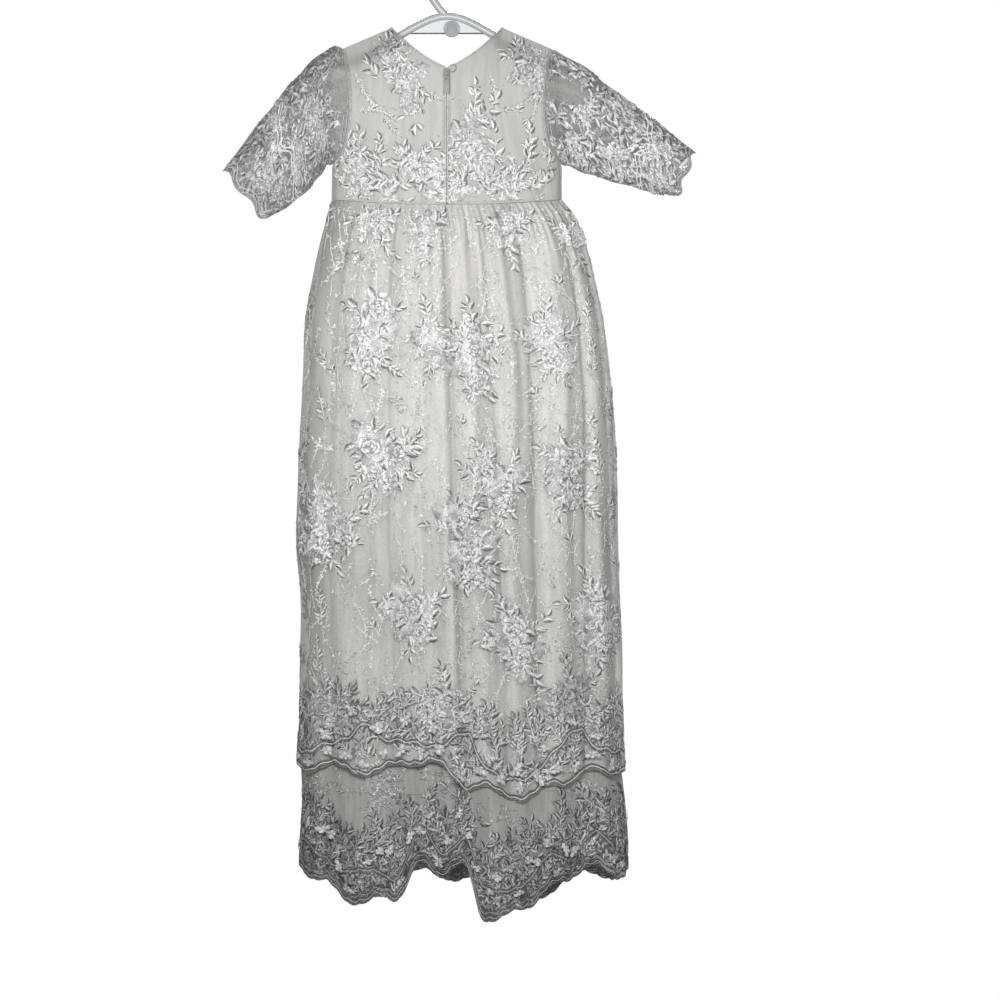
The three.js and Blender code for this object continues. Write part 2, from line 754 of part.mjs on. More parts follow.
add("zip_pull", fuse([plate(pullShape, pullThickness, pinY), pin]), metal);

export default gown;
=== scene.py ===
import math
import bmesh
import bpy
import numpy as np
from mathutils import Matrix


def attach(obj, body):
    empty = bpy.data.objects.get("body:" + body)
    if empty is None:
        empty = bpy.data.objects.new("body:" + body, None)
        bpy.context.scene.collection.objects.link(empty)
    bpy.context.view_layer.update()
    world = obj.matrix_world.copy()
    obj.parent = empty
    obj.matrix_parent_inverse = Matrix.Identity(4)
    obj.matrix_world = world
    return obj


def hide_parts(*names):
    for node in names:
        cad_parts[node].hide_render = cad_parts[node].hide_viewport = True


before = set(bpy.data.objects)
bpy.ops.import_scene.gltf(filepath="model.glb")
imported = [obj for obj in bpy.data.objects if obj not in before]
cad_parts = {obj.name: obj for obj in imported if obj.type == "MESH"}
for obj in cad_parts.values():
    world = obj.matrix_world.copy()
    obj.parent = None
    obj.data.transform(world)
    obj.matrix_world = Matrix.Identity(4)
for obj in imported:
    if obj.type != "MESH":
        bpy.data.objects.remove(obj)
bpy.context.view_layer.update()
print("frame loaded")

# All sizes below are millimetres; meshes are written in metres.
mm = 0.001
dice = np.random.default_rng(11)

# Levels and sizes that several pieces share
waistLevel, waistDip, underarmLevel = -253, 6, -216
halfChest, chestDepth, halfSeam = 119, 27, 0.15
tierRun, liningHem, flounceTop = 553, -926, -806
hangerPeak, armSlope = -60, 0.43
# Headings on a cut, in radians
upward, downward = 1.57, -1.57


def mix(a, b, share):
    return a + (b - a) * share


def ease(share):
    t = np.clip(share, 0, 1)
    return t * t * (3 - 2 * t)


def bump(share, at, width):
    return np.exp(-(((share - at) / width) ** 2))


# Smooth curve through the points (places, values), with places rising
def readCurve(places, values, at):
    places = np.asarray(places, float)
    values = np.asarray(values, float)
    at = np.clip(at, places[0], places[-1])
    last = len(places) - 1
    k = np.clip(np.searchsorted(places, at, side="right") - 1, 0, last - 1)
    before = np.maximum(np.arange(last + 1) - 1, 0)
    after = np.minimum(np.arange(last + 1) + 1, last)
    slope = (values[after] - values[before]) / (places[after] - places[before])
    span = places[k + 1] - places[k]
    t = (at - places[k]) / span
    start, end = values[k], values[k + 1]
    bend = (1 - t) * slope[k] * span - t * slope[k + 1] * span + (end - start) * (2 * t - 1)
    return mix(start, end, t) + t * (1 - t) * bend


def unit(vectors):
    return vectors / np.maximum(np.linalg.norm(vectors, axis=-1, keepdims=True), 1e-9)


# Materials
def newMaterial(name):
    material = bpy.data.materials.new(name)
    material.use_nodes = True
    tree = material.node_tree
    shader = tree.nodes["Principled BSDF"]
    return material, tree, shader


def addNode(tree, kind, **values):
    node = tree.nodes.new(kind)
    for key, value in values.items():
        if hasattr(node, key):
            setattr(node, key, value)
        else:
            node.inputs[key.replace("_", " ").title()].default_value = value
    return node


def cutCoordinates(tree, scale):
    place = addNode(tree, "ShaderNodeUVMap", uv_map="cut")
    mapping = addNode(tree, "ShaderNodeMapping")
    mapping.inputs["Scale"].default_value = scale
    tree.links.new(place.outputs["UV"], mapping.inputs["Vector"])
    return mapping.outputs["Vector"]


def colourRamp(tree, source, low, high, lowColour, highColour):
    ramp = tree.nodes.new("ShaderNodeValToRGB")
    ramp.color_ramp.elements[0].position = low
    ramp.color_ramp.elements[1].position = high
    ramp.color_ramp.elements[0].color = (*lowColour, 1)
    ramp.color_ramp.elements[1].color = (*highColour, 1)
    tree.links.new(source, ramp.inputs["Fac"])
    return ramp.outputs["Color"]


def addBump(tree, shader, height, strength, distance):
    node = tree.nodes.new("ShaderNodeBump")
    node.inputs["Strength"].default_value = strength
    node.inputs["Distance"].default_value = distance
    tree.links.new(height, node.inputs["Height"])
    tree.links.new(node.outputs["Normal"], shader.inputs["Normal"])


def multiply(tree, first, second):
    node = addNode(tree, "ShaderNodeVectorMath", operation="MULTIPLY")
    tree.links.new(first, node.inputs[0])
    tree.links.new(second, node.inputs[1])
    return node.outputs["Vector"]


def satinMaterial(name, dark, light):
    material, tree, shader = newMaterial(name)
    # Stretched noise: partly the satin's own uneven slubs, partly painted streaks of fold shade
    slubsAndFoldShade = addNode(tree, "ShaderNodeTexNoise", scale=1.0, detail=4.0, roughness=0.6)
    tree.links.new(cutCoordinates(tree, (0.035, 0.006, 1)), slubsAndFoldShade.inputs["Vector"])
    colour = colourRamp(tree, slubsAndFoldShade.outputs["Fac"], 0.3, 0.7, dark, light)
    tree.links.new(colour, shader.inputs["Base Color"])
    weave = addNode(tree, "ShaderNodeTexNoise", scale=1.0, detail=2.0)
    tree.links.new(cutCoordinates(tree, (2.6, 0.5, 1)), weave.inputs["Vector"])
    addBump(tree, shader, weave.outputs["Fac"], 0.12, 0.0004)
    shader.inputs["Roughness"].default_value = 0.5
    shader.inputs["Sheen Weight"].default_value = 0.15
    return material


# Colour shaded down towards the lower edge of the cut
def shadeToHem(tree, colour, height, tone):
    place = addNode(tree, "ShaderNodeUVMap", uv_map="cut")
    split = addNode(tree, "ShaderNodeSeparateXYZ")
    tree.links.new(place.outputs["UV"], split.inputs["Vector"])
    level = addNode(tree, "ShaderNodeMapRange", interpolation_type="SMOOTHSTEP")
    level.inputs["From Min"].default_value = 0.2 * height
    level.inputs["From Max"].default_value = height
    level.inputs["To Min"].default_value = tone
    tree.links.new(split.outputs["Y"], level.inputs["Value"])
    shaded = addNode(tree, "ShaderNodeVectorMath", operation="SCALE")
    tree.links.new(colour, shaded.inputs["Vector"])
    tree.links.new(level.outputs["Result"], shaded.inputs["Scale"])
    return shaded.outputs["Vector"]


def tulleMaterial(name, dark, light, thin, dense, hemHeight=0, hemTone=1):
    material, tree, shader = newMaterial(name)
    # Stretched noise: partly the net's own uneven tone, partly painted streaks of fold shade
    cloud = addNode(tree, "ShaderNodeTexNoise", scale=1.0, detail=5.0, roughness=0.65)
    tree.links.new(cutCoordinates(tree, (0.11, 0.012, 1)), cloud.inputs["Vector"])
    colour = colourRamp(tree, cloud.outputs["Fac"], 0.3, 0.72, dark, light)
    if hemHeight:
        colour = shadeToHem(tree, colour, hemHeight, hemTone)
    # Painted shade from the sheet's tone attribute: the drape's painted light and shade on the skirt tier,
    # and the darker bodice
    folds = addNode(tree, "ShaderNodeVertexColor", layer_name="tone")
    tree.links.new(multiply(tree, colour, folds.outputs["Color"]), shader.inputs["Base Color"])
    net = addNode(tree, "ShaderNodeTexVoronoi", feature="DISTANCE_TO_EDGE", scale=1.0)
    tree.links.new(cutCoordinates(tree, (0.62, 0.62, 1)), net.inputs["Vector"])
    alpha = colourRamp(tree, net.outputs["Distance"], 0.05, 0.3, (dense,) * 3, (thin,) * 3)
    tree.links.new(alpha, shader.inputs["Alpha"])
    shader.inputs["Roughness"].default_value = 0.6
    shader.inputs["Sheen Weight"].default_value = 0.2
    return material


def threadMaterial(name, dark, light, speckle):
    material, tree, shader = newMaterial(name)
    tone = addNode(tree, "ShaderNodeVertexColor", layer_name="tone")
    colour = colourRamp(tree, tone.outputs["Color"], 0.0, 1.0, dark, light)
    stitch = addNode(tree, "ShaderNodeTexNoise", scale=1.0, detail=3.0, roughness=0.7)
    tree.links.new(cutCoordinates(tree, (0.85, 0.5, 1)), stitch.inputs["Vector"])
    fleck = colourRamp(tree, stitch.outputs["Fac"], 0.36, 0.58, (speckle,) * 3, (1, 1, 1))
    tree.links.new(multiply(tree, colour, fleck), shader.inputs["Base Color"])
    addBump(tree, shader, stitch.outputs["Fac"], 0.5, 0.0012)
    shader.inputs["Roughness"].default_value = 0.34
    shader.inputs["Specular IOR Level"].default_value = 0.65
    return material


def plainMaterial(name, colour, roughness, metallic=0.0):
    material, _, shader = newMaterial(name)
    shader.inputs["Base Color"].default_value = (*colour, 1)
    shader.inputs["Roughness"].default_value = roughness
    shader.inputs["Metallic"].default_value = metallic
    return material


satin = satinMaterial("satin_lining", (0.52, 0.516, 0.506), (0.74, 0.735, 0.72))
netOver = tulleMaterial("tulle_over_satin", (0.5, 0.496, 0.488), (0.71, 0.705, 0.693), 0.42, 0.72)
# The grey of the sleeve and flounce nets is painted shade: the shaded inside of the gown seen through them
netSleeve = tulleMaterial("tulle_sleeve", (0.17, 0.17, 0.167), (0.3, 0.3, 0.296), 0.42, 0.85)
netFlounce = tulleMaterial("tulle_flounce", (0.25, 0.248, 0.245), (0.4, 0.396, 0.39), 0.76, 0.95,
                           hemHeight=80, hemTone=0.3)
thread = threadMaterial("silver_white_thread", (0.1, 0.1, 0.1), (0.96, 0.96, 0.955), 0.45)
# The border thread runs darker, as painted shade over the lower border
darkThread = threadMaterial("border_thread", (0.03, 0.03, 0.03), (0.9, 0.9, 0.895), 0.5)
plastic = plainMaterial("moulded_plastic", (0.375, 0.383, 0.392), 0.28)
enamel = plainMaterial("pale_enamel", (0.5, 0.5, 0.495), 0.35, 0.2)
darkEnamel = plainMaterial("grey_enamel", (0.2, 0.2, 0.198), 0.45)
print("materials made")


# Meshes
def finishObject(name, mesh, material, smooth=True):
    mesh.polygons.foreach_set("use_smooth", [smooth] * len(mesh.polygons))
    mesh.materials.append(material)
    obj = bpy.data.objects.new(name, mesh)
    bpy.context.scene.collection.objects.link(obj)
    return obj


# Tone per point and place on the cut, as the materials read them
def paintMesh(mesh, tone, cutPlace):
    colours = mesh.color_attributes.new("tone", "FLOAT_COLOR", "POINT")
    colours.data.foreach_set("color", np.stack([tone, tone, tone, 1 + 0 * tone], axis=-1).ravel())
    corner = np.empty(len(mesh.loops), int)
    mesh.loops.foreach_get("vertex_index", corner)
    layer = mesh.uv_layers.new(name="cut")
    layer.data.foreach_set("uv", cutPlace[corner].ravel())


# Cloth panel: a flat grid, shaped by place(share across, share down)
def makeSheet(name, columns, rows, place, cut, material, thickness=0.0, shade=None):
    bm = bmesh.new()
    bmesh.ops.create_grid(bm, x_segments=columns, y_segments=rows, size=0.5)
    spot = np.array([vert.co[:2] for vert in bm.verts]) + 0.5
    shaped = place(spot[:, 0], 1 - spot[:, 1]) * mm
    for vert, co in zip(bm.verts, shaped):
        vert.co = co
    mesh = bpy.data.meshes.new(name)
    bm.to_mesh(mesh)
    bm.free()
    tone = shade(spot[:, 0], 1 - spot[:, 1]) if shade else np.ones(len(spot))
    paintMesh(mesh, tone, spot * np.array(cut))
    obj = finishObject(name, mesh, material)
    if thickness:
        shell = obj.modifiers.new("cloth", "SOLIDIFY")
        shell.thickness = thickness * mm
        shell.offset = 0
    return obj


# Skirt form, level by level: z, sideways drift of its middle, half width, half depth
skirtForm = np.array([
    (-253, 0, 121.4, 29.4), (-263, 2.5, 126, 32), (-279, 5, 133, 36), (-300, 6, 140, 39),
    (-337, 7.3, 149, 42), (-379, 8, 157, 44), (-421, 9.5, 160.5, 45), (-484, 11, 165, 47),
    (-547, 11, 168, 49), (-610, 10.5, 169.5, 51), (-673, 14, 168, 53), (-736, 15, 170, 54.5),
    (-799, 15, 170.5, 56), (-841, 14.5, 172.5, 58), (-883, 17.5, 171.5, 60),
    (-946, 16.7, 173, 62), (-1012, 16.7, 174, 63),
])
# Angles round an oval: a row for each depth over width, a column for each share of the half girth
lowRatio, ratioStep, lastRow, lastColumn = 0.2, 0.01, 19.999, 239.999
ratioSteps = np.linspace(lowRatio, 0.4, 21)
shareSteps = np.linspace(0, 1, 241)


def arcTable():
    angles = np.linspace(0, math.pi, 481)
    middle = (angles[1:] + angles[:-1]) / 2
    rows = []
    for ratio in ratioSteps:
        lengths = np.append(0, np.cumsum(np.hypot(np.sin(middle), ratio * np.cos(middle))))
        rows.append(np.interp(shareSteps, lengths / lengths[-1], angles))
    return np.array(rows)


angleRows = arcTable()


# Angle round the oval at a share of the half girth
def angleAt(share, halfWidth, halfDepth):
    row = np.clip((halfDepth / halfWidth - lowRatio) / ratioStep, 0, lastRow) + 0 * share
    column = np.clip(share, 0, 1) * lastColumn + 0 * row
    i, j = row.astype(int), column.astype(int)
    f, g = row - i, column - j
    low = mix(angleRows[i, j], angleRows[i, j + 1], g)
    high = mix(angleRows[i + 1, j], angleRows[i + 1, j + 1], g)
    return mix(low, high, f)


def skirtSize(z):
    return [readCurve(-skirtForm[:, 0], skirtForm[:, k], -z) for k in (1, 2, 3)]


def skirtPoint(side, share, z, out):
    drift, halfWidth, halfDepth = skirtSize(z)
    angle = angleAt(share, halfWidth, halfDepth)
    slopeX = -np.cos(angle) / halfWidth
    slopeY = side * np.sin(angle) / halfDepth
    size = np.hypot(slopeX, slopeY)
    x = drift - halfWidth * np.cos(angle) + slopeX / size * out
    y = side * (halfDepth * np.sin(angle) + halfSeam) + slopeY / size * out
    return np.stack([x, y, z + 0 * x], axis=-1)


def halfGirth(z):
    _, a, b = skirtSize(z)
    h = ((a - b) / (a + b)) ** 2
    return math.pi / 2 * (a + b) * (1 + 3 * h / (10 + np.sqrt(4 - 3 * h)))


def skirtTopZ(share):
    angle = angleAt(share, np.float64(halfChest), np.float64(chestDepth))
    return waistLevel - waistDip * np.sin(angle) ** 2 - halfSeam


# Depth under the waist seam, and its share of the tier's run
def depthUnder(share, z):
    depth = skirtTopZ(share) - z
    return depth, np.minimum(depth / tierRun, 1.25)


# Long folds: share across at waist and hem, width, rise at both
longFolds = {
    -1: [
        (0.08, 0.09, 0.032, 3, 5), (0.19, 0.23, 0.05, 5, 7), (0.4, 0.395, 0.042, 4, 5),
        (0.525, 0.57, 0.04, 6, 9), (0.66, 0.66, 0.035, 4, 5), (0.84, 0.765, 0.045, 6, 7),
        (0.93, 0.9, 0.03, 3, 5),
    ],
    1: [
        (0.09, 0.1, 0.034, 3, 5), (0.23, 0.21, 0.045, 5, 6), (0.37, 0.35, 0.042, 4, 7),
        (0.51, 0.5, 0.05, 5, 7), (0.66, 0.67, 0.04, 4, 6), (0.79, 0.8, 0.045, 5, 7),
        (0.92, 0.9, 0.032, 3, 5),
    ],
}
# Narrow creases pressed in beside them: share at waist and hem, width, depth
creases = {
    -1: [
        (0.13, 0.14, 0.008, 2), (0.3, 0.32, 0.008, 1.8), (0.45, 0.485, 0.012, -2),
        (0.472, 0.505, 0.009, 4), (0.6, 0.63, 0.009, 2.2), (0.73, 0.715, 0.01, 2.4),
        (0.9, 0.85, 0.008, 2),
    ],
    1: [
        (0.15, 0.14, 0.008, 1.5), (0.3, 0.29, 0.008, 1.3), (0.445, 0.43, 0.007, 1.6),
        (0.58, 0.59, 0.008, 1.6), (0.72, 0.74, 0.009, 1.3), (0.87, 0.86, 0.007, 1.5),
    ],
}


def foldRise(side, share, z):
    depth, down = depthUnder(share, z)
    rise = 0 * down
    for waist, hem, width, high, low in longFolds[side]:
        height = mix(high, low, down) * ease(depth / 60)
        rise = rise + height * bump(share, mix(waist, hem, down), width)
    full = ease(depth / 14) * (1 - ease((depth - 14) / 110))
    uneven = 0.75 + 0.25 * np.sin(23 * share + side)
    return rise + 3.4 * full * uneven * (0.5 - 0.5 * np.cos(2 * math.pi * 16 * share))


# The lace's own small folds, on top of the long ones
def laceRise(side, share, z):
    depth, down = depthUnder(share, z)
    rise = foldRise(side, share, z) - 0.55
    for waist, hem, width, deep in creases[side]:
        rise = rise - deep * bump(share, mix(waist, hem, down), width) * ease(depth / 40)
    sway = 0.012 * np.sin(depth / 83 + 4 * share) + 0.007 * np.sin(depth / 31 + side)
    fine = 0.5 * np.sin(2 * math.pi * 19 * (share + sway) + side) * ease(depth / 50)
    fading = 1 - 0.6 * ease(depth / 260)
    finer = 0.35 * np.sin(2 * math.pi * 33 * (share + 0.6 * sway) + 2) * fading
    tucks = 0.8 * np.sin(2 * math.pi * 47 * share + 3 * np.sin(9 * share)) * ease(depth / 6)
    return rise + fine + finer + tucks * (1 - ease((depth - 6) / 60))


# Broad bands of painted light and shade on the drape: share at waist and hem, width, tone
paintedDrapeBands = {
    -1: [
        (0.02, 0.02, 0.09, -0.46), (0.2, 0.2, 0.05, 0.06), (0.405, 0.42, 0.04, 0.12),
        (0.56, 0.58, 0.04, 0.1), (0.7, 0.7, 0.03, -0.08), (0.8, 0.78, 0.04, 0.08),
        (0.97, 0.97, 0.06, -0.14),
    ],
    1: [
        (0.03, 0.03, 0.06, -0.16), (0.28, 0.26, 0.05, 0.08), (0.52, 0.5, 0.05, 0.1),
        (0.78, 0.8, 0.05, 0.08), (0.97, 0.97, 0.06, -0.14),
    ],
}


# Painted light and shade on the lace over its folds: lit on the slopes to the left, painted shade along the
# creases, just under the waist and low on the tier, and the broad painted bands
def paintedDrapeShade(side, share, z):
    depth, down = depthUnder(share, z)
    step = 0.002
    change = laceRise(side, share + step, z) - laceRise(side, share - step, z)
    slope = change / (2 * step * halfGirth(z))
    tone = 0.98 + 0.2 * np.tanh(1.8 * slope)
    # Painted shade just under the waist and low down the tier
    tone = tone - 0.17 * bump(down, 0, 0.14) - 0.12 * bump(down, 0.7, 0.18)
    for waist, hem, width, deep in creases[side]:
        shadow = 0.13 * deep / 2 * bump(share, mix(waist, hem, down), 1.1 * width)
        tone = tone - shadow * ease(depth / 40)
    for waist, hem, width, amount in paintedDrapeBands[side]:
        tone = tone + amount * bump(share, mix(waist, hem, down), width)
    return np.clip(tone, 0.45, 1.3)


def liningRise(side, share, z):
    depth = waistLevel - z
    inset = 1.4 + 7 * ease(depth / 130)
    return 0.3 * foldRise(side, share, z) * ease(depth / 130) - inset


# Scalloped edges: share across, level
tierHems = {
    -1: (
        [0, 0.07, 0.15, 0.24, 0.31, 0.38, 0.44, 0.51, 0.56, 0.65, 0.74, 0.78, 0.86, 0.92, 1],
        [-842, -854, -844, -857, -845, -846, -842, -872, -866, -883, -865, -868, -850, -858, -850],
    ),
    1: (
        [0, 0.08, 0.16, 0.25, 0.34, 0.42, 0.5, 0.58, 0.67, 0.75, 0.84, 0.92, 1],
        [-842, -853, -846, -864, -856, -874, -866, -876, -858, -864, -848, -857, -850],
    ),
}
flounceHems = {
    -1: (
        [0, 0.05, 0.1, 0.14, 0.2, 0.24, 0.28, 0.33, 0.38, 0.4, 0.44, 0.51, 0.545, 0.57, 0.63, 0.68,
         0.74, 0.79, 0.86, 0.92, 1],
        [-946, -958, -965, -966, -988, -989, -981, -985, -948, -948, -962, -950, -1000, -1007, -995, -992,
         -969, -965, -950, -965, -950],
    ),
    1: (
        [0, 0.06, 0.13, 0.22, 0.31, 0.39, 0.47, 0.55, 0.64, 0.73, 0.81, 0.92, 1],
        [-943, -962, -956, -984, -978, -958, -972, -966, -994, -986, -960, -968, -948],
    ),
}
# Deep waves of the flounce: share across, width, rise
lobes = {
    -1: [(0.2, 0.1, 10), (0.61, 0.085, 17), (0.93, 0.045, 7)],
    1: [(0.22, 0.09, 12), (0.66, 0.09, 14)],
}


def tierHem(side, share):
    picots = 1.3 * np.abs(np.sin(math.pi * 26 * share + 0.6))
    return readCurve(*tierHems[side], share) - picots + 0.8


def flounceHem(side, share):
    picots = 1.5 * np.abs(np.sin(math.pi * 30 * share))
    return readCurve(*flounceHems[side], share) - picots + 0.9


def flounceRise(side, share, z):
    lobe = 0 * share
    for at, width, rise in lobes[side]:
        lobe = lobe + rise * bump(share, at, width)
    grown = ease((readCurve(*tierHems[side], share) - 3 - z) / 75)
    under = foldRise(side, share, z) - 2.6
    seam = liningRise(side, share, z) + 1.85
    ripple = 0.9 * np.sin(2 * math.pi * 24 * share + z / 45) * grown
    return mix(seam, under + grown * (lobe + 1.5), ease((flounceTop - z) / 70)) - 0.55 + ripple


# Bodice form
shoulderX, neckX = 109, 57
# Level at the middle and sag of the neck edge
necklines = {-1: (-114.5, 5), 1: (-141, 12)}
# Armhole from underarm to shoulder: share up, x
armholeUp = [0, 0.1, 0.25, 0.5, 0.75, 1]
armholeOut = [119, 111, 105, 102, 103.5, 109]


def armZ(x):
    return hangerPeak - armSlope * np.abs(x)


def shoulderZ(x):
    return armZ(x) + 12


def waistZ(x):
    return waistLevel - waistDip * (1 - (x / halfChest) ** 2)


def neckZ(side, x):
    share = np.abs(x) / neckX
    level, sag = necklines[side]
    return mix(level, shoulderZ(neckX), share) - 4 * sag * share * (1 - share)


def armholeEdge(up):
    return readCurve(armholeUp, armholeOut, up), mix(underarmLevel, shoulderZ(shoulderX), up)


# The oval body closes in to a wedge over the hanger's arms
def fullness(x, z):
    halfWidth = halfChest + 34 * ease((z - underarmLevel) / 60)
    depth = shoulderZ(x) - z
    oval = (1 - (x / halfWidth) ** 2) * (1 - (1 - np.minimum(depth / 70, 1)) ** 2)
    wedge = 0.42 * (depth + 0.6) / chestDepth
    pinched = ease((np.abs(x) - 44) / 16) * (1 - ease((depth - 12) / 16))
    return mix(np.sqrt(np.maximum(oval, 0)), wedge, pinched) ** 2


def bodicePoint(side, x, z, out):
    y = side * chestDepth * np.sqrt(np.maximum(fullness(x, z), 0))
    step = 0.01
    slope = unit(np.stack([
        (fullness(x - step, z) - fullness(x + step, z)) / (2 * step),
        2 * y / chestDepth**2,
        (fullness(x, z - step) - fullness(x, z + step)) / (2 * step),
    ], axis=-1))
    point = np.stack([x, y + side * halfSeam, z + 0 * x], axis=-1)
    return point + slope * np.expand_dims(out + 0 * x, -1)


# Share across where the neck ends, and share up where the armhole starts
neckShare, underarmShare = 0.625, 0.22


# Half panel of the bodice from its four edges, by share across and share up
def bodicePlace(side, across, up, middleX):
    level, sag = necklines[side]
    outX = mix(middleX, halfChest, across)
    bottomZ = waistZ(outX) + halfSeam
    middleLowZ, sideLowZ = waistZ(middleX) + halfSeam, waistLevel + halfSeam
    middleZ = mix(middleLowZ, level, up)
    share = 1 - (1 - np.clip(across / neckShare, 0, 1)) ** 1.7
    topX = np.where(
        across <= neckShare,
        mix(middleX, neckX, share),
        mix(neckX, shoulderX, (across - neckShare) / (1 - neckShare)),
    )
    neck = mix(level, shoulderZ(neckX), share) - 4 * sag * share * (1 - share)
    topZ = np.where(across <= neckShare, neck, shoulderZ(topX))
    rise = np.clip((up - underarmShare) / (1 - underarmShare), 0, 1)
    armX, armTopZ = armholeEdge(rise)
    underarm = up <= underarmShare
    sideX = np.where(underarm, halfChest, armX)
    sideZ = np.where(underarm, mix(sideLowZ, underarmLevel, up / underarmShare), armTopZ)
    lowX, lowZ = outX, mix(middleLowZ, sideLowZ, across)
    highX, highZ = mix(middleX, shoulderX, across), mix(level, shoulderZ(shoulderX), across)
    x = mix(outX, topX, up) + mix(middleX, sideX, across) - mix(lowX, highX, up)
    z = mix(bottomZ, topZ, up) + mix(middleZ, sideZ, across) - mix(lowZ, highZ, up)
    return x, z


def insideBodice(side, a, b):
    x = np.abs(a)
    up = (b - underarmLevel) / (shoulderZ(shoulderX) - underarmLevel)
    edge = np.where(b > underarmLevel, readCurve(armholeUp, armholeOut, up), halfChest - 1)
    top = np.where(x < neckX, neckZ(side, x), shoulderZ(x))
    return (x < edge - 0.8) & (b < top - 1) & (b > waistZ(a) + 1.2)


# Sleeves: upper edge x z, lower edge x z, half depth, from the armhole to the cuff
sleeveTables = {
    -1: np.array([
        (-119, -91.5, -126, -217, 21), (-143, -108, -133, -227, 22),
        (-165, -130, -144, -238.5, 21.5), (-186, -157.5, -157, -252, 19.5),
        (-209, -188, -173.5, -264.5, 16.5), (-234, -221.5, -193, -274, 13),
    ]),
    1: np.array([
        (118.5, -100, 127, -218, 15), (150, -117, 145, -225, 19),
        (173.5, -135, 166, -230, 21), (203, -157.5, 192, -238.5, 21),
        (232, -180.5, 218.5, -246, 20), (260, -203, 243, -249, 20),
    ]),
}
sleeveLengths = {-1: 142, 1: 158}


def sleeveBase(hand, turn, along):
    table = sleeveTables[hand]
    back = -np.sin(turn)
    lift = (1 + np.cos(turn)) / 2
    rows = len(table)
    place = along * rows - 1
    highX, highZ, lowX, lowZ, halfDepth = [readCurve(range(rows), column, place) for column in table.T]
    point = np.stack([mix(lowX, highX, lift), back * halfDepth, mix(lowZ, highZ, lift)], axis=-1)
    axis = unit(np.stack([lowZ - highZ, 0 * lift, highX - lowX], axis=-1))
    axis = axis * np.sign(axis[..., :1] * hand)
    scallop = 2.4 * np.cos(5 * turn) * ease((along - 0.86) / 0.14)
    point = point + axis * np.expand_dims(scallop, -1)
    x, z = armholeEdge(lift)
    drop = (1 - lift) ** 3
    side = np.where(back > 0, 1, -1)
    edge = bodicePoint(side, x, z, 1.2)
    startX = (edge[..., 0] - 0.9 + 0.5 * drop) * hand
    start = np.stack([startX, edge[..., 1], edge[..., 2] + 0.2 * drop], axis=-1)
    head = np.expand_dims(place + 1, -1)
    return np.where(np.expand_dims(place < 0, -1), mix(start, point, head), point)


def sleevePoint(hand, turn, along, out):
    step = 0.004
    about = sleeveBase(hand, turn + step, along) - sleeveBase(hand, turn - step, along)
    ahead = np.clip(along + step, 0, 1)
    behind = np.clip(along - step, 0, 1)
    down = sleeveBase(hand, turn, ahead) - sleeveBase(hand, turn, behind)
    slope = unit(np.cross(down, about)) * -hand
    gathers = bump(along, 0.1, 0.12) * ease((np.cos(turn) + 0.4) / 1.2)
    head = 1.3 * np.sin(17 * turn + hand) * gathers
    slack = 1.1 * np.sin(9 * along + 3 * turn) * np.sin(math.pi * along)
    cross = 0.8 * np.sin(26 * along + 1.5 * np.sin(2 * turn)) * np.sin(math.pi * along)
    away = out + (head + slack + cross) * ease(along / 0.08)
    return sleeveBase(hand, turn, along) + slope * np.expand_dims(away, -1)


# Embroidery templates: a flat grid shaped to length, width and rise, with a tone per point
def gridTemplate(columns, rows, shape):
    bm = bmesh.new()
    bmesh.ops.create_grid(bm, x_segments=columns, y_segments=rows, size=0.5)
    spot = np.array([vert.co[:2] for vert in bm.verts]) + 0.5
    faces = np.array([[vert.index for vert in face.verts] for face in bm.faces])
    bm.free()
    points, tone = shape(spot[:, 0], spot[:, 1])
    return {"points": points, "tone": tone, "faces": faces}


def joinTemplates(parts):
    offsets = np.cumsum([0] + [len(part["points"]) for part in parts[:-1]])
    return {
        "points": np.concatenate([part["points"] for part in parts]),
        "tone": np.concatenate([part["tone"] for part in parts]),
        "faces": np.concatenate([part["faces"] + k for part, k in zip(parts, offsets)]),
    }


# Satin-stitched leaf with painted light: lit on one half and in painted shade on the rest from the edge
# given, with painted shade along its vein
def leafTemplate(width, bend, edge, dark):
    def shape(u, v):
        across = 2 * u - 1
        half = width * np.sin(math.pi * v**0.85) ** 0.75
        a = across * half + bend * np.sin(math.pi * v)
        vein = np.exp(-((across / 0.2) ** 2))
        h = 0.1 * (1 - across**2) * np.sin(math.pi * v) ** 0.6 - 0.05 * vein * np.sin(math.pi * v)
        tone = mix(1.0, dark, ease((across - edge) / 0.4)) - 0.45 * vein
        tone = tone - 0.7 * np.abs(across) ** 6 - 0.25 * (1 - np.sin(math.pi * v) ** 0.5)
        return np.stack([a, v, h], axis=-1), np.clip(tone, 0, 1)
    return gridTemplate(3, 4, shape)


# Wavy petal round a middle, in painted shade at its foot by the gap given, where the ring inside lies over
# it; darker at its tip and sides
def petalTemplate(middle, span, inner, outer, base, cup, gap, columns, rows):
    def shape(u, v):
        across = 2 * u - 1
        angle = middle + span * across / 2
        wavy = 1 + 0.07 * np.sin(4 * across + 5 * middle)
        reach = mix(inner, outer * wavy * (1 - 0.14 * across**4), v)
        h = base + cup * (1 - 0.7 * across**2) * np.sin(math.pi * (0.15 + 0.7 * v))
        points = np.stack([reach * np.cos(angle), reach * np.sin(angle), h], axis=-1)
        tone = 1 - gap * (1 - ease(v / 0.6)) - 0.55 * ease((v - 0.75) / 0.25)
        return points, np.clip(tone - 0.7 * np.abs(across) ** 5, 0, 1)
    return gridTemplate(columns, rows, shape)


# Rings of petals: count, inner and outer reach, base, cup
roseRings = [
    (7, 0.6, 1.0, 0.0, 0.06), (6, 0.38, 0.7, 0.05, 0.06),
    (5, 0.17, 0.46, 0.1, 0.06), (3, 0.0, 0.24, 0.15, 0.06),
]


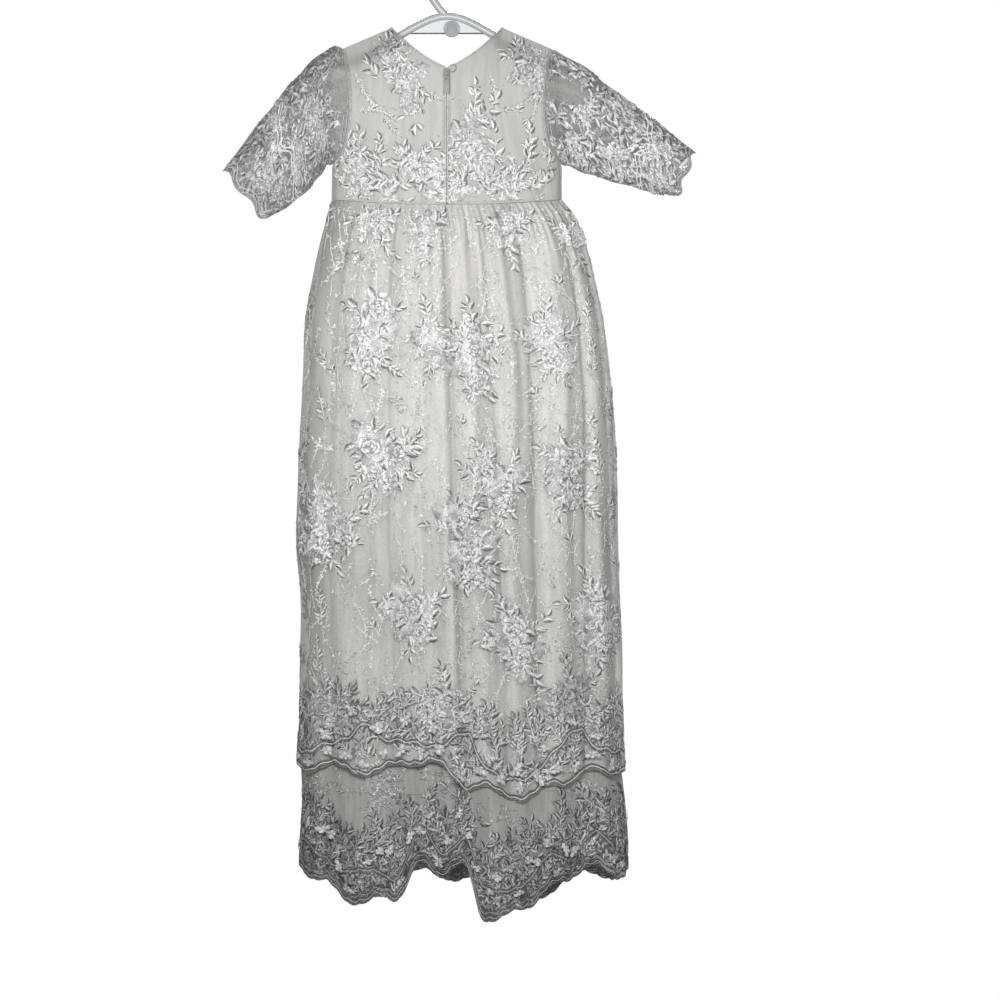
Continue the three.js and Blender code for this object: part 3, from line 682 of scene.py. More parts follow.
def roseTemplate(seed):
    parts = []
    for k, (count, inner, outer, base, cup) in enumerate(roseRings):
        for n in range(count):
            wander = math.sin(5.3 * n + 2.1 * k + seed)
            middle = seed + 2 * math.pi * (n + 0.37 * k + 0.2 * wander) / count
            span = 2 * math.pi / count * (1.1 + 0.3 * wander)
            reach = outer * (1 + 0.18 * math.sin(3.7 * n + seed + k))
            part = petalTemplate(middle, span, inner, reach, base, cup, 1.0, 4, 3)
            part["tone"] = part["tone"] * (0.82 + 0.25 * math.cos(4.1 * n + k + seed))
            parts.append(part)
    return joinTemplates(parts)


def blossomTemplate(petals):
    step = 2 * math.pi / petals
    parts = []
    for n in range(petals):
        reach = 1 + 0.3 * math.sin(2.3 * n + petals)
        part = petalTemplate(n * step, step * 0.92, 0.0, reach, 0.5, 0.14, 0.3, 2, 2)
        part["tone"] = (0.4 + 0.7 * part["tone"]) * (0.85 + 0.2 * math.sin(3.1 * n + 1.7 * petals))
        parts.append(part)
    whole = joinTemplates(parts)
    whole["points"] = whole["points"] * (0.78, 1.08, 1)
    return whole


# Short curved stroke, shaded on its hollow side
def flakeTemplate(width, bend, columns):
    def shape(u, v):
        across = 2 * u - 1
        half = width * np.sin(math.pi * (0.08 + 0.84 * v)) ** 0.7
        a = across * half + 4 * bend * v * (1 - v)
        h = 0.2 * (1 - across**2) * np.sin(math.pi * v)
        hollow = np.clip(-across * math.copysign(1, bend), 0, 1)
        tone = 1 - 0.7 * hollow**1.5 - 0.35 * np.abs(across) ** 6 - 0.25 * np.abs(2 * v - 1) ** 4
        return np.stack([a, v - 0.5, h], axis=-1), np.clip(tone, 0, 1)
    return gridTemplate(columns, 2, shape)


# Uneven patch of flat stitches under a bouquet
def patchTemplate(seed):
    def shape(u, v):
        angle = 2 * math.pi * u
        reach = v * (1 + 0.24 * np.sin(3 * angle + seed) + 0.14 * np.sin(5 * angle + 2 * seed))
        h = 0.22 - 0.1 * v**2
        points = np.stack([reach * np.cos(angle), reach * np.sin(angle), h], axis=-1)
        return points, 0.9 - 0.4 * v**4
    return gridTemplate(12, 1, shape)


def knotTemplate():
    def shape(u, v):
        angle = 2 * math.pi * u
        h = 0.4 * (1 - v**2)
        points = np.stack([v * np.cos(angle), 0.6 * v * np.sin(angle), h], axis=-1)
        return points, 1 - 0.6 * v**2
    return gridTemplate(4, 1, shape)


leaves = [
    leafTemplate(0.26, 0.1, 0, 0.12), leafTemplate(0.3, -0.12, -0.1, 0.2),
    leafTemplate(0.22, 0.05, 0.1, 0.1), leafTemplate(0.2, -0.16, -0.2, 0.05),
]
# Border leaves: mostly in painted shade, lit along one edge only
hemLeaves = [
    leafTemplate(0.24, 0.1, -0.45, 0), leafTemplate(0.28, -0.12, -0.5, 0.05),
    leafTemplate(0.2, 0.05, -0.4, 0.02),
]
roses = [roseTemplate(0.3), roseTemplate(1.1), roseTemplate(2.0)]
blossoms = [blossomTemplate(5), blossomTemplate(6), blossomTemplate(4)]
flakes = [flakeTemplate(0.24, 0.22, 2), flakeTemplate(0.3, -0.26, 2), flakeTemplate(0.2, 0.12, 2)]
specks = [flakeTemplate(0.24, 0.18, 1), flakeTemplate(0.3, -0.2, 1), flakeTemplate(0.2, 0.1, 1)]
for speck in specks:
    speck["tone"] = 0.42 + 0.8 * speck["tone"]
patches = [patchTemplate(0.4), patchTemplate(1.7), patchTemplate(3.1)]
knot = knotTemplate()


# Any heading on the cut
def anyTurn():
    return dice.uniform(0, 6.3)


# Brightness of one group of stitches: the thread catches the light unevenly
def glint(shade, low=0.4):
    return shade * mix(low, 1.2, dice.uniform() ** 0.6)


# A bag gathers the motifs of one panel on its flat cut: across, up, rise
def newBag():
    return {"points": [], "tone": [], "faces": [], "grain": [], "count": 0}


def stamp(bag, template, a, b, size, turn, rise=None, shade=1.0):
    points = template["points"] * size
    if rise is not None:
        points[:, 2] = template["points"][:, 2] * rise
    c, s = math.cos(turn), math.sin(turn)
    flat = np.stack([
        a + c * points[:, 0] - s * points[:, 1],
        b + s * points[:, 0] + c * points[:, 1],
        points[:, 2],
    ], axis=-1)
    addToBag(bag, flat, template["tone"] * shade, template["faces"], points[:, :2])


def addToBag(bag, flat, tone, faces, grain):
    bag["points"].append(flat)
    bag["tone"].append(tone)
    bag["faces"].append(faces + bag["count"])
    bag["grain"].append(grain + dice.uniform(0, 40, 2))
    bag["count"] += len(flat)


# Half-round cord along a flat path, in painted shade down its sides to the foot
def cord(bag, a, b, width, rise, shade=1.0):
    path = np.stack([a, b], axis=-1)
    tangent = unit(np.gradient(path, axis=0))
    sideways = np.stack([-tangent[:, 1], tangent[:, 0]], axis=-1)
    count = len(a)
    steps = np.arange(count)
    taper = np.sqrt(np.clip(np.minimum(steps, steps[::-1]) / 2, 0.15, 1))
    # Thick cords get deep painted shade at the foot, thin ones only a little
    sides, footShade = (3, 0.1) if width > 1 else (2, 0.6)
    angles = np.linspace(0, math.pi, sides + 1)
    offset = np.cos(angles)[None, :, None] * sideways[:, None, :] * (width / 2 * taper)[:, None, None]
    height = np.sin(angles)[None, :] * rise * taper[:, None]
    flat = np.concatenate([path[:, None, :] + offset, height[:, :, None]], axis=-1).reshape(-1, 3)
    tone = np.tile(mix(footShade, 1.0, np.sin(angles)), count) * shade
    i, j = np.meshgrid(np.arange(count - 1), np.arange(sides), indexing="ij")
    first = (i * (sides + 1) + j).ravel()
    faces = np.stack([first, first + 1, first + sides + 2, first + sides + 1], axis=-1)
    grain = np.stack([np.tile(angles, count), np.repeat(steps * 1.5, sides + 1)], axis=-1)
    addToBag(bag, flat, tone, faces, grain)


def curl(a, b, turn, length, curve, steps=10):
    angles = turn + curve * np.linspace(0, 1, steps) ** 1.3
    step = length / (steps - 1)
    runA = np.append(0, np.cumsum(np.cos(angles[1:]) * step))
    runB = np.append(0, np.cumsum(np.sin(angles[1:]) * step))
    return a + runA, b + runB


# Curved stem with leaves in pairs and one at the tip
def spray(bag, a, b, turn, length, curve, leaf, shade=1.0, kinds=leaves):
    pathA, pathB = curl(a, b, turn, length, curve)
    cord(bag, pathA, pathB, 0.9, 0.5, 0.85 * shade)
    pairs = max(2, int(length / (leaf * 0.6)))
    for k in range(pairs):
        for hand in (-1, 1):
            if dice.uniform() < 0.14:
                continue
            spot = 1 + int((k + dice.uniform(0.2, 0.95)) / pairs * 8)
            ahead = math.atan2(pathB[spot] - pathB[spot - 1], pathA[spot] - pathA[spot - 1])
            size = leaf * dice.uniform(0.75, 1.25) * (1 - 0.3 * k / pairs)
            lean = ahead - math.pi / 2 + hand * dice.uniform(0.45, 1.05)
            stamp(bag, dice.choice(kinds), pathA[spot], pathB[spot], size, lean, leaf * 0.7,
                  glint(shade, 0.5))
    ahead = math.atan2(pathB[-1] - pathB[-2], pathA[-1] - pathA[-2])
    tip = leaf * 0.9
    stamp(bag, kinds[0], pathA[-1], pathB[-1], tip, ahead - math.pi / 2, tip, shade)


# Three leaves fanned on a short stem
def triLeaf(bag, a, b, turn, leaf, shade=1.0):
    for lean, size in ((-0.75, 0.9), (0, 1.15), (0.75, 0.9)):
        stamp(bag, dice.choice(leaves), a, b, leaf * size, turn - math.pi / 2 + lean, leaf, shade)
    pathA, pathB = curl(a, b, turn + math.pi, leaf * 1.6, dice.uniform(-0.7, 0.7), 8)
    cord(bag, pathA, pathB, 0.9, 0.5, 0.85 * shade)


def rose(bag, a, b, radius, shade=1.0):
    stamp(bag, dice.choice(roses), a, b, radius, anyTurn(), radius * 0.5, shade)


def blossom(bag, a, b, radius, shade=1.0):
    stamp(bag, dice.choice(blossoms), a, b, radius, anyTurn(), radius * 1.1, shade)


def knots(bag, a, b, spreadA, spreadB, count, size=1.1, shade=1.0):
    for _ in range(count):
        stamp(bag, knot, a + dice.normal(0, spreadA), b + dice.normal(0, spreadB),
              size * dice.uniform(0.6, 1.5), dice.uniform(0, 3.1), size * 1.2,
              shade * dice.uniform(0.6, 1.05))


def tendril(bag, a, b, turn, length, curve, shade=0.8):
    pathA, pathB = curl(a, b, turn, length, curve)
    cord(bag, pathA, pathB, 0.8, 0.45, shade)


# Small stitched petals filling an oval
def fillOval(bag, a, b, wide, tall, count, low=3.5, high=7.5, shade=1.0):
    for _ in range(count):
        angle = anyTurn()
        far = dice.uniform() ** 0.6
        x, y = a + wide * far * math.cos(angle), b + tall * far * math.sin(angle)
        stamp(bag, dice.choice(flakes), x, y, dice.uniform(low, high), anyTurn(),
              dice.uniform(3, 6), glint(shade))


# Fine vine of small petals and stitches
def trail(bag, a, b, turn, length, curve, shade=1.0):
    pathA, pathB = curl(a, b, turn, length, curve, max(6, int(length / 2.6)))
    cord(bag, pathA[::2], pathB[::2], 0.8, 0.4, 0.95 * shade)
    heading = np.arctan2(np.gradient(pathB), np.gradient(pathA)) - math.pi / 2
    for k, (x, y) in enumerate(zip(pathA, pathB)):
        lean = heading[k] + (1 if k % 2 else -1) * dice.uniform(0.4, 1.5)
        stamp(bag, dice.choice(specks), x + dice.normal(0, 1), y + dice.normal(0, 0.9),
              dice.uniform(2, 4.6), lean, 4, glint(1.1 * shade, 0.5))
        if k % 3 == 0:
            knots(bag, x, y, 3, 3, 1, 1.3, shade)


# Short curled strokes
def scrolls(bag, a, b, spreadA, spreadB, count, length, shade=1.0):
    for _ in range(count):
        pathA, pathB = curl(a + dice.normal(0, spreadA), b + dice.normal(0, spreadB),
                            anyTurn(), length * dice.uniform(0.6, 1.4), dice.uniform(-3, 3), 6)
        cord(bag, pathA, pathB, dice.uniform(0.9, 1.7), 0.8, glint(shade))


# Flat stitches in uneven patches, with short strokes over them
def stitchedGround(bag, a, b, wide, tall, count, shade=1.0):
    for _ in range(count):
        angle, far = anyTurn(), dice.uniform(0.1, 0.85)
        x, y = a + wide * far * math.cos(angle), b + tall * far * math.sin(angle)
        size = dice.uniform(0.2, 0.36) * (wide + tall) / 2
        stamp(bag, dice.choice(patches), x, y, size, angle, 2, shade * dice.uniform(0.42, 0.74))
        fillOval(bag, x, y, 1.1 * size, 1.1 * size, int(size * size / 9) + 3, 4, 8.5, shade)


# Roses ringed by leaves, with sprays, blossoms and loose stitches about them
def bouquet(bag, a, b, heads, reach, sprays, shade=1.0):
    stitchedGround(bag, a, b, 0.8 * reach, reach, 9, shade)
    scrolls(bag, a, b, 0.42 * reach, 0.45 * reach, int(reach * 0.4), 10, shade)
    for turn, length, curve in sprays:
        spray(bag, a + 0.35 * reach * math.cos(turn), b + 0.45 * reach * math.sin(turn), turn,
              0.75 * length, curve, dice.uniform(9.5, 13), 1.1 * shade)
    for da, db, radius in heads:
        for _ in range(10):
            angle = anyTurn()
            far = radius * dice.uniform(0.6, 1.4)
            stamp(bag, dice.choice(leaves), a + da + far * math.cos(angle), b + db + far * math.sin(angle),
                  radius * dice.uniform(0.6, 1.05), angle - math.pi / 2 + dice.uniform(-1, 1), radius * 0.7,
                  glint(shade))
        rose(bag, a + da, b + db, radius, shade)
        fillOval(bag, a + da, b + db, 1.2 * radius, 1.2 * radius, 9, 3, 6, shade)
    for _ in range(5):
        angle = anyTurn()
        far = reach * dice.uniform(0.45, 0.95)
        blossom(bag, a + 0.75 * far * math.cos(angle), b + far * math.sin(angle), dice.uniform(3.2, 5.2),
                shade)
    for _ in range(2):
        angle = anyTurn()
        tendril(bag, a + 0.5 * reach * math.cos(angle), b + 0.5 * reach * math.sin(angle), angle,
                reach * dice.uniform(0.6, 1.1), dice.uniform(-2.4, 2.4), 0.85 * shade)
    for turn in (upward, downward):
        trail(bag, a + dice.normal(0, 8), b + reach * 0.7 * math.sin(turn), turn + dice.normal(0, 0.3),
              reach, dice.uniform(-0.8, 0.8), shade)
    knots(bag, a, b, 0.45 * reach, 0.55 * reach, int(reach * 1.4), 1.3, shade)


# Mesh of a whole bag, laid on the panel and trimmed to it
def sew(name, bag, surface, inside, material):
    flat = np.concatenate(bag["points"])
    faces = np.concatenate(bag["faces"])
    keep = inside(flat[:, 0], flat[:, 1])
    faces = faces[keep[faces].all(axis=1)]
    used, faces = np.unique(faces, return_inverse=True)
    faces = faces.reshape(-1, 4)
    flat = flat[used]
    points = surface(flat[:, 0], flat[:, 1], flat[:, 2]) * mm
    tone = np.concatenate(bag["tone"])[used]
    tone = np.clip(tone + dice.normal(0, 0.09, len(tone)), 0, 1)
    grain = np.concatenate(bag["grain"])[used]
    mesh = bpy.data.meshes.new(name)
    mesh.from_pydata(points.tolist(), [], faces.tolist())
    paintMesh(mesh, tone, grain)
    print(name, len(faces) * 2, "triangles")
    return finishObject(name, mesh, material)


# Hanger
hangerSizes = {
    "tube": 4.2, "barZ": -164, "halfWidth": 153, "arm": 127, "endRound": 6.5,
    "hook": 24, "hookTube": 4, "stem": [(1, -62), (-10, -49), (-19, -34.5)],
    "webZ": -79, "webThickness": 2.4, "webEdge": 2,
    "boss": 8.5, "bossX": 5, "bossThickness": 5, "ring": 7.2, "ringTube": 0.5, "ringY": 2.3,
}


# Smooth path through points
def pathThrough(points, steps, closed=False):
    points = np.asarray(points, float)
    if closed:
        points = np.concatenate([points[-1:], points, points[:2]])
        place = np.linspace(1, len(points) - 2, steps)
    else:
        place = np.linspace(0, len(points) - 1, steps)
    return np.stack([readCurve(range(len(points)), column, place) for column in points.T], axis=-1)


# Tube round a path in X and Z, at one depth, with rounded ends where it is open
def addTube(bm, path, radius, sides, closed=False, y=0.0):
    made = bmesh.ops.create_grid(bm, x_segments=sides, y_segments=len(path) - 1, size=0.5)["verts"]
    tangent = np.gradient(path, axis=0)
    if closed:
        tangent[0] = tangent[-1] = path[1] - path[-2]
    tangent = unit(tangent)
    for vert in made:
        angle = 2 * math.pi * (vert.co.x + 0.5)
        k = int(round((vert.co.y + 0.5) * (len(path) - 1)))
        end = 1.0
        if not closed:
            gap = min(k, len(path) - 1 - k)
            end = (0.0, 0.6, 0.88)[gap] if gap < 3 else 1.0
        away = radius * end * math.cos(angle)
        depth = y + radius * end * math.sin(angle)
        vert.co = (path[k][0] + tangent[k][1] * away, depth, path[k][1] - tangent[k][0] * away)


def bevelEdges(bm, edges, offset, segments):
    bmesh.ops.bevel(bm, geom=edges, offset=offset, segments=segments, affect="EDGES", profile=0.5,
                    material=-1)


def addBlock(bm, low, high, bevel, segments=2):
    made = bmesh.ops.create_cube(bm, size=1)["verts"]
    for vert in made:
        vert.co = [mix(low[k], high[k], vert.co[k] + 0.5) for k in range(3)]
    edges = list({edge for vert in made for edge in vert.link_edges})
    bevelEdges(bm, edges, bevel, segments)


def addDisc(bm, centre, radius, thickness, segments, bevel):
    made = bmesh.ops.create_cone(bm, cap_ends=True, segments=segments, radius1=radius, radius2=radius,
                                 depth=thickness)["verts"]
    for vert in made:
        x, y, z = vert.co
        vert.co = (centre[0] + x, centre[1] + z, centre[2] + y)
    edges = {edge for vert in made for edge in vert.link_edges}
    rims = [edge for edge in edges if abs(edge.verts[0].co.y - edge.verts[1].co.y) < 1e-6]
    bevelEdges(bm, rims, bevel, 2)


def fromBmesh(name, bm, material):
    bmesh.ops.remove_doubles(bm, verts=bm.verts, dist=0.02)
    bmesh.ops.recalc_face_normals(bm, faces=bm.faces)
    bmesh.ops.scale(bm, vec=(mm, mm, mm), verts=bm.verts)
    mesh = bpy.data.meshes.new(name)
    bm.to_mesh(mesh)
    bm.free()
    return finishObject(name, mesh, material)


def makeHanger(s):
    bm = bmesh.new()
    corner = s["halfWidth"] - s["endRound"]
    half = [
        (s["arm"] / 2, armZ(s["arm"] / 2)), (s["arm"], armZ(s["arm"])),
        (corner, armZ(corner) - s["endRound"] / 2),
        (s["halfWidth"], mix(armZ(s["halfWidth"]), s["barZ"], 0.45)),
        (corner, s["barZ"] + s["endRound"]), (s["arm"], s["barZ"]), (s["arm"] / 2, s["barZ"]),
    ]
    loop = [(0, hangerPeak)] + half + [(0, s["barZ"])] + [(-x, z) for x, z in half[::-1]]
    addTube(bm, pathThrough(loop, 180, True), s["tube"], 16, True)
    centreZ = s["hookTube"] - s["hook"]
    turns = np.radians(np.arange(180, -26, -41))
    bend = [(s["hook"] * math.cos(t), centreZ + s["hook"] * math.sin(t)) for t in turns]
    addTube(bm, pathThrough(s["stem"] + bend, 70), s["hookTube"], 16)
    halfWeb, webY = (hangerPeak - s["webZ"]) / armSlope, s["webThickness"] / 2
    for side in (-1, 1):
        web = bmesh.ops.create_grid(bm, x_segments=20, y_segments=2, size=0.5)["verts"]
        for vert in web:
            x = 2 * vert.co.x * halfWeb
            vert.co = (x, side * webY, mix(s["webZ"] + 0.4, armZ(x), vert.co.y + 0.5))
    addBlock(bm, (-halfWeb, -webY, s["webZ"]), (halfWeb, webY, s["webZ"] + s["webEdge"]), 0.5)
    bossZ = s["webZ"] + s["boss"] - 3
    addDisc(bm, (s["bossX"], 0, bossZ), s["boss"], s["bossThickness"], 48, 0.5)
    turns = np.linspace(0, 2 * math.pi, 49)
    ring = np.stack([s["bossX"] + s["ring"] * np.cos(turns), bossZ + s["ring"] * np.sin(turns)], axis=-1)
    for side in (-1, 1):
        addTube(bm, ring, s["ringTube"], 8, True, side * s["ringY"])
    return fromBmesh("hanger_moulding", bm, plastic)


hanger = makeHanger(hangerSizes)
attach(hanger, "gown")
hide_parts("hanger")
print("hanger made")


# Zip: coil and tape behind the slit, slider and hinged pull
zipSizes = {
    "coilTop": -115.5, "coilBottom": -257, "coilY": -26.1, "coilTube": 0.4, "coilX": 0.45,
    "coilSwing": 0.28, "coilPitch": 1.8, "tapeHalf": 2.5, "tapeFrontY": -25.75, "tapeBackY": -25.35,
    "sliderTop": -117, "sliderLength": 10, "sliderHalf": 2.7, "sliderFrontY": -31.85,
    "sliderBackY": -29.85, "postHalf": 0.25, "postFrontY": -30.3, "postBackY": -27.2,
    "archY": -34.45, "archHalf": 0.7, "pinY": -32.7, "pinZ": -122, "pinHalf": 0.5,
    "pullHalf": 2.6, "pullLength": 21, "eyeHalf": 1.7, "eyeLength": 6, "panelHalf": 1.5,
}


def makeZip(s):
    bm = bmesh.new()
    addBlock(bm, (-s["tapeHalf"], s["tapeFrontY"], s["coilBottom"]),
             (s["tapeHalf"], s["tapeBackY"], s["coilTop"]), 0.1, 1)
    levels = np.linspace(s["coilTop"] - 0.4, s["coilBottom"] + 0.4, 320)
    for hand in (-1, 1):
        wave = hand * s["coilX"] + s["coilSwing"] * np.sin(levels * 2 * math.pi / s["coilPitch"] + hand)
        addTube(bm, np.stack([wave, levels], axis=-1), s["coilTube"], 5, False, s["coilY"])
    chain = fromBmesh("zip_chain", bm, enamel)
    bm = bmesh.new()
    bottom = s["sliderTop"] - s["sliderLength"]
    addBlock(bm, (-s["sliderHalf"], s["sliderFrontY"], bottom),
             (s["sliderHalf"], s["sliderBackY"], s["sliderTop"]), 0.7, 3)
    addBlock(bm, (-s["postHalf"], s["postFrontY"], bottom + 1),
             (s["postHalf"], s["postBackY"], s["sliderTop"] - 1), 0.05, 1)
    for z in (s["sliderTop"] - 3, bottom + 2):
        addBlock(bm, (-s["archHalf"], s["archY"], z), (s["archHalf"], s["sliderFrontY"] + 0.5, z + 1), 0.2)
    addBlock(bm, (-s["archHalf"], s["archY"], bottom + 2),
             (s["archHalf"], s["archY"] + 0.9, s["sliderTop"] - 2), 0.25)
    slider = fromBmesh("zip_slider_body", bm, darkEnamel)
    bm = bmesh.new()
    eyeZ = s["pinZ"] - s["eyeLength"]
    endZ = s["pinZ"] - s["pullLength"]
    front, rear = s["pinY"] - s["pinHalf"], s["pinY"] + s["pinHalf"]
    for hand in (-1, 1):
        edges = sorted((hand * s["eyeHalf"], hand * s["pullHalf"]))
        addBlock(bm, (edges[0], front, eyeZ - 1), (edges[1], rear, s["pinZ"] + 0.3), 0.2)
    addBlock(bm, (-s["pullHalf"], front, endZ), (s["pullHalf"], rear, eyeZ), 0.32, 3)
    addBlock(bm, (-s["panelHalf"], front - 0.12, endZ + 2), (s["panelHalf"], front + 0.2, eyeZ - 2.5), 0.1)
    addBlock(bm, (-s["pullHalf"], front, s["pinZ"] - s["pinHalf"]),
             (s["pullHalf"], rear, s["pinZ"] + s["pinHalf"]), 0.3, 3)
    pull = fromBmesh("zip_pull_tab", bm, darkEnamel)
    return chain, slider, pull


# Wire loop of the neck fastening, beside the slider
loopSizes = {
    "path": [(3, -119.5), (7.6, -119.8), (9.6, -117), (9, -113.6), (5.6, -112.6), (3, -113.4)],
    "radius": 0.45, "out": 3.1,
}


def makeLoop(s):
    bm = bmesh.new()
    addTube(bm, pathThrough(s["path"], 40), s["radius"], 8)
    for vert in bm.verts:
        x, z = np.float64(vert.co.x), np.float64(vert.co.z)
        vert.co.y += float(bodicePoint(-1, x, z, s["out"])[1])
    return fromBmesh("neck_fastening", bm, darkEnamel)


neckLoop = makeLoop(loopSizes)
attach(neckLoop, "gown")

zipChain, zipSlider, zipPull = makeZip(zipSizes)
for obj, node, body in (
    (zipChain, "zip_coil", "gown"), (zipSlider, "zip_slider", "gown"), (zipPull, "zip_pull", "zip_pull"),
):
    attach(obj, body)
    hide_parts(node)
print("zip made")


# Bodice: satin lining with the lace over it
bodicePanels = {
    "front": {"side": 1, "half": 0, "cut": (238, 185), "area": 0.82},
    "back_left": {"side": -1, "half": -1, "cut": (120, 185), "area": 0.86},
    "back_right": {"side": -1, "half": 1, "cut": (120, 185), "area": 0.86},
}
# Roses: x, z, radius. Sprays and vines: x, z, heading, length, curve. Leaves: x, z, heading, size.
# Fills: x, z, half width, half height.
bodiceMotifs = {
    -1: {
        "roses": [
            (-42, -123, 13), (-36, -156, 10), (-23, -224, 14), (84, -118, 13), (19, -187, 13),
            (-66, -95, 8), (2, -250, 9), (62, -236, 10), (-84, -240, 10), (29, -166, 9), (40, -216, 12),
        ],
        "sprays": [
            (-64, -110, 1.2, 24, 0.6), (-66, -128, 2.6, 26, -0.6), (-92, -210, 1.4, 28, 0.4),
            (-71, -226, 1.3, 34, 0.5), (-48, -228, 1.8, 30, -0.6), (-46, -238, 2.7, 36, 0.5),
            (-84, -247, 1.0, 26, 0.6), (-104, -230, 1.3, 30, 0.4), (22, -178, 1.15, 44, 0.5),
            (30, -172, 0.6, 32, 0.5), (48, -216, 1.3, 36, 0.5), (82, -218, 1.2, 38, 0.5),
            (60, -236, 0.4, 36, 0.8), (88, -242, 0.7, 32, 0.6), (36, -242, 0.2, 42, 0.6),
            (18, -234, 1.9, 30, 0.6), (105, -218, 1.4, 28, 0.3), (66, -112, 1.0, 26, 0.7),
            (92, -136, -1.2, 26, 0.6), (-18, -246, 0.3, 26, 0.6),
        ],
        "leaves": [
            (-33, -174, -1.57, 12), (29, -136, -1.4, 9), (74, -160, 0.4, 8), (-78, -158, 0.3, 8),
            (-14, -150, 2.4, 7), (-43, -206, 2.2, 12), (50, -150, 2.8, 7), (84, -200, 1.7, 10),
            (-70, -206, 1.2, 10),
        ],
        "vines": [
            (-94, -122, -1.3, 46, 0.7), (-92, -160, 0.2, 40, -0.9), (-66, -166, -1.0, 26, 0.3),
            (46, -126, -1.2, 44, -0.6), (56, -160, 0.1, 34, 0.6), (82, -166, -1.4, 24, 0.2),
            (-20, -140, -0.7, 26, 0.8), (94, -136, -1.6, 40, -0.3),
        ],
        "fills": [
            (-58, -104, 22, 16), (-44, -126, 22, 14), (84, -104, 22, 14), (88, -124, 16, 16),
            (-98, -212, 16, 22), (30, -196, 22, 20),
        ],
    },
    1: {
        "roses": [
            (-70, -128, 13), (70, -128, 13), (0, -186, 14), (-46, -196, 12), (48, -200, 12),
            (-88, -200, 12), (90, -204, 12), (-22, -232, 12), (26, -234, 12),
        ],
        "sprays": [
            (-48, -150, -0.4, 36, 0.8), (48, -150, 3.5, 36, -0.8), (-20, -168, 2.2, 32, 0.8),
            (20, -168, 0.9, 32, -0.8), (-70, -172, -1.4, 34, 0.8), (70, -172, -1.7, 34, -0.8),
            (0, -220, 1.57, 24, 0.2), (-60, -236, 0.2, 34, 0.6), (60, -236, 2.9, 34, -0.6),
            (-98, -170, -1.3, 30, 0.5), (98, -170, -1.8, 30, -0.5),
        ],
        "leaves": [
            (-84, -150, 1.2, 10), (84, -150, 1.9, 10), (0, -160, 1.57, 10), (-30, -178, 0.9, 9),
            (30, -178, 2.2, 9),
        ],
        "vines": [
            (-60, -146, -1.0, 40, 0.8), (60, -146, -2.1, 40, -0.8), (-94, -140, -1.5, 44, 0.4),
            (94, -140, -1.6, 44, -0.4),
        ],
        "fills": [
            (-74, -112, 20, 20), (72, -110, 20, 22), (-96, -210, 16, 20), (94, -212, 16, 20),
        ],
    },
}


def fillBodice(side):
    bag = newBag()
    motifs = bodiceMotifs[side]
    for x, z, radius in motifs["roses"]:
        # Painted shade: motifs on the upper bodice run dimmer
        shade = 0.8 if z > -200 else 0.95
        stitchedGround(bag, x, z, 1.9 * radius, 1.6 * radius, 6, 0.9 * shade)
        rose(bag, x, z, radius, shade)
        for _ in range(6):
            angle = anyTurn()
            far = radius * dice.uniform(0.6, 1.25)
            stamp(bag, dice.choice(leaves), x + far * math.cos(angle), z + far * math.sin(angle),
                  radius * dice.uniform(0.6, 1.1), anyTurn(), radius * 0.7, glint(1.1 * shade))
        scrolls(bag, x, z, 0.9 * radius, 0.9 * radius, 6, 9, shade)
        knots(bag, x, z, radius, radius, 16, 1.2, shade)
    for x, z, wide, tall in motifs["fills"]:
        stitchedGround(bag, x, z, wide, tall, 7, 0.9)
        scrolls(bag, x, z, 0.5 * wide, 0.5 * tall, 9, 9, 0.9)
        fillOval(bag, x, z, wide, tall, 18, 4, 8.5, 0.95)
        for _ in range(3):
            spray(bag, x + dice.uniform(-0.7, 0.7) * wide, z + dice.uniform(-0.7, 0.7) * tall,
                  anyTurn(), 15, dice.uniform(-1, 1), 10, glint(0.95, 0.6))
    for x, z, turn, length, curve in motifs["sprays"]:
        spray(bag, x, z, turn, length, curve, dice.uniform(11, 14), 1.0)
    for x, z, turn, leaf in motifs["leaves"]:
        triLeaf(bag, x, z, turn, leaf)
    for x, z, turn, length, curve in motifs["vines"]:
        trail(bag, x, z, turn, length, curve, 0.95)
        spray(bag, x, z, turn, length, curve, 5, 0.95)
    for k in range(60):
        x = dice.uniform(-114, 114)
        z = mix(-254, -208, dice.uniform() ** 1.5)
        if k % 2:
            spray(bag, x, z, dice.uniform(0, 3.1), 20, dice.uniform(-1.5, 1.5), 11, glint(1, 0.5))
        stitchedGround(bag, x, z, 11, 9, 2)
        scrolls(bag, x, z, 6, 5, 1, 9)
    for _ in range(14):
        blossom(bag, dice.uniform(-110, 110), dice.uniform(-250, -200), dice.uniform(3.2, 5))
    knots(bag, 0, -225, 70, 18, 240)
    return bag


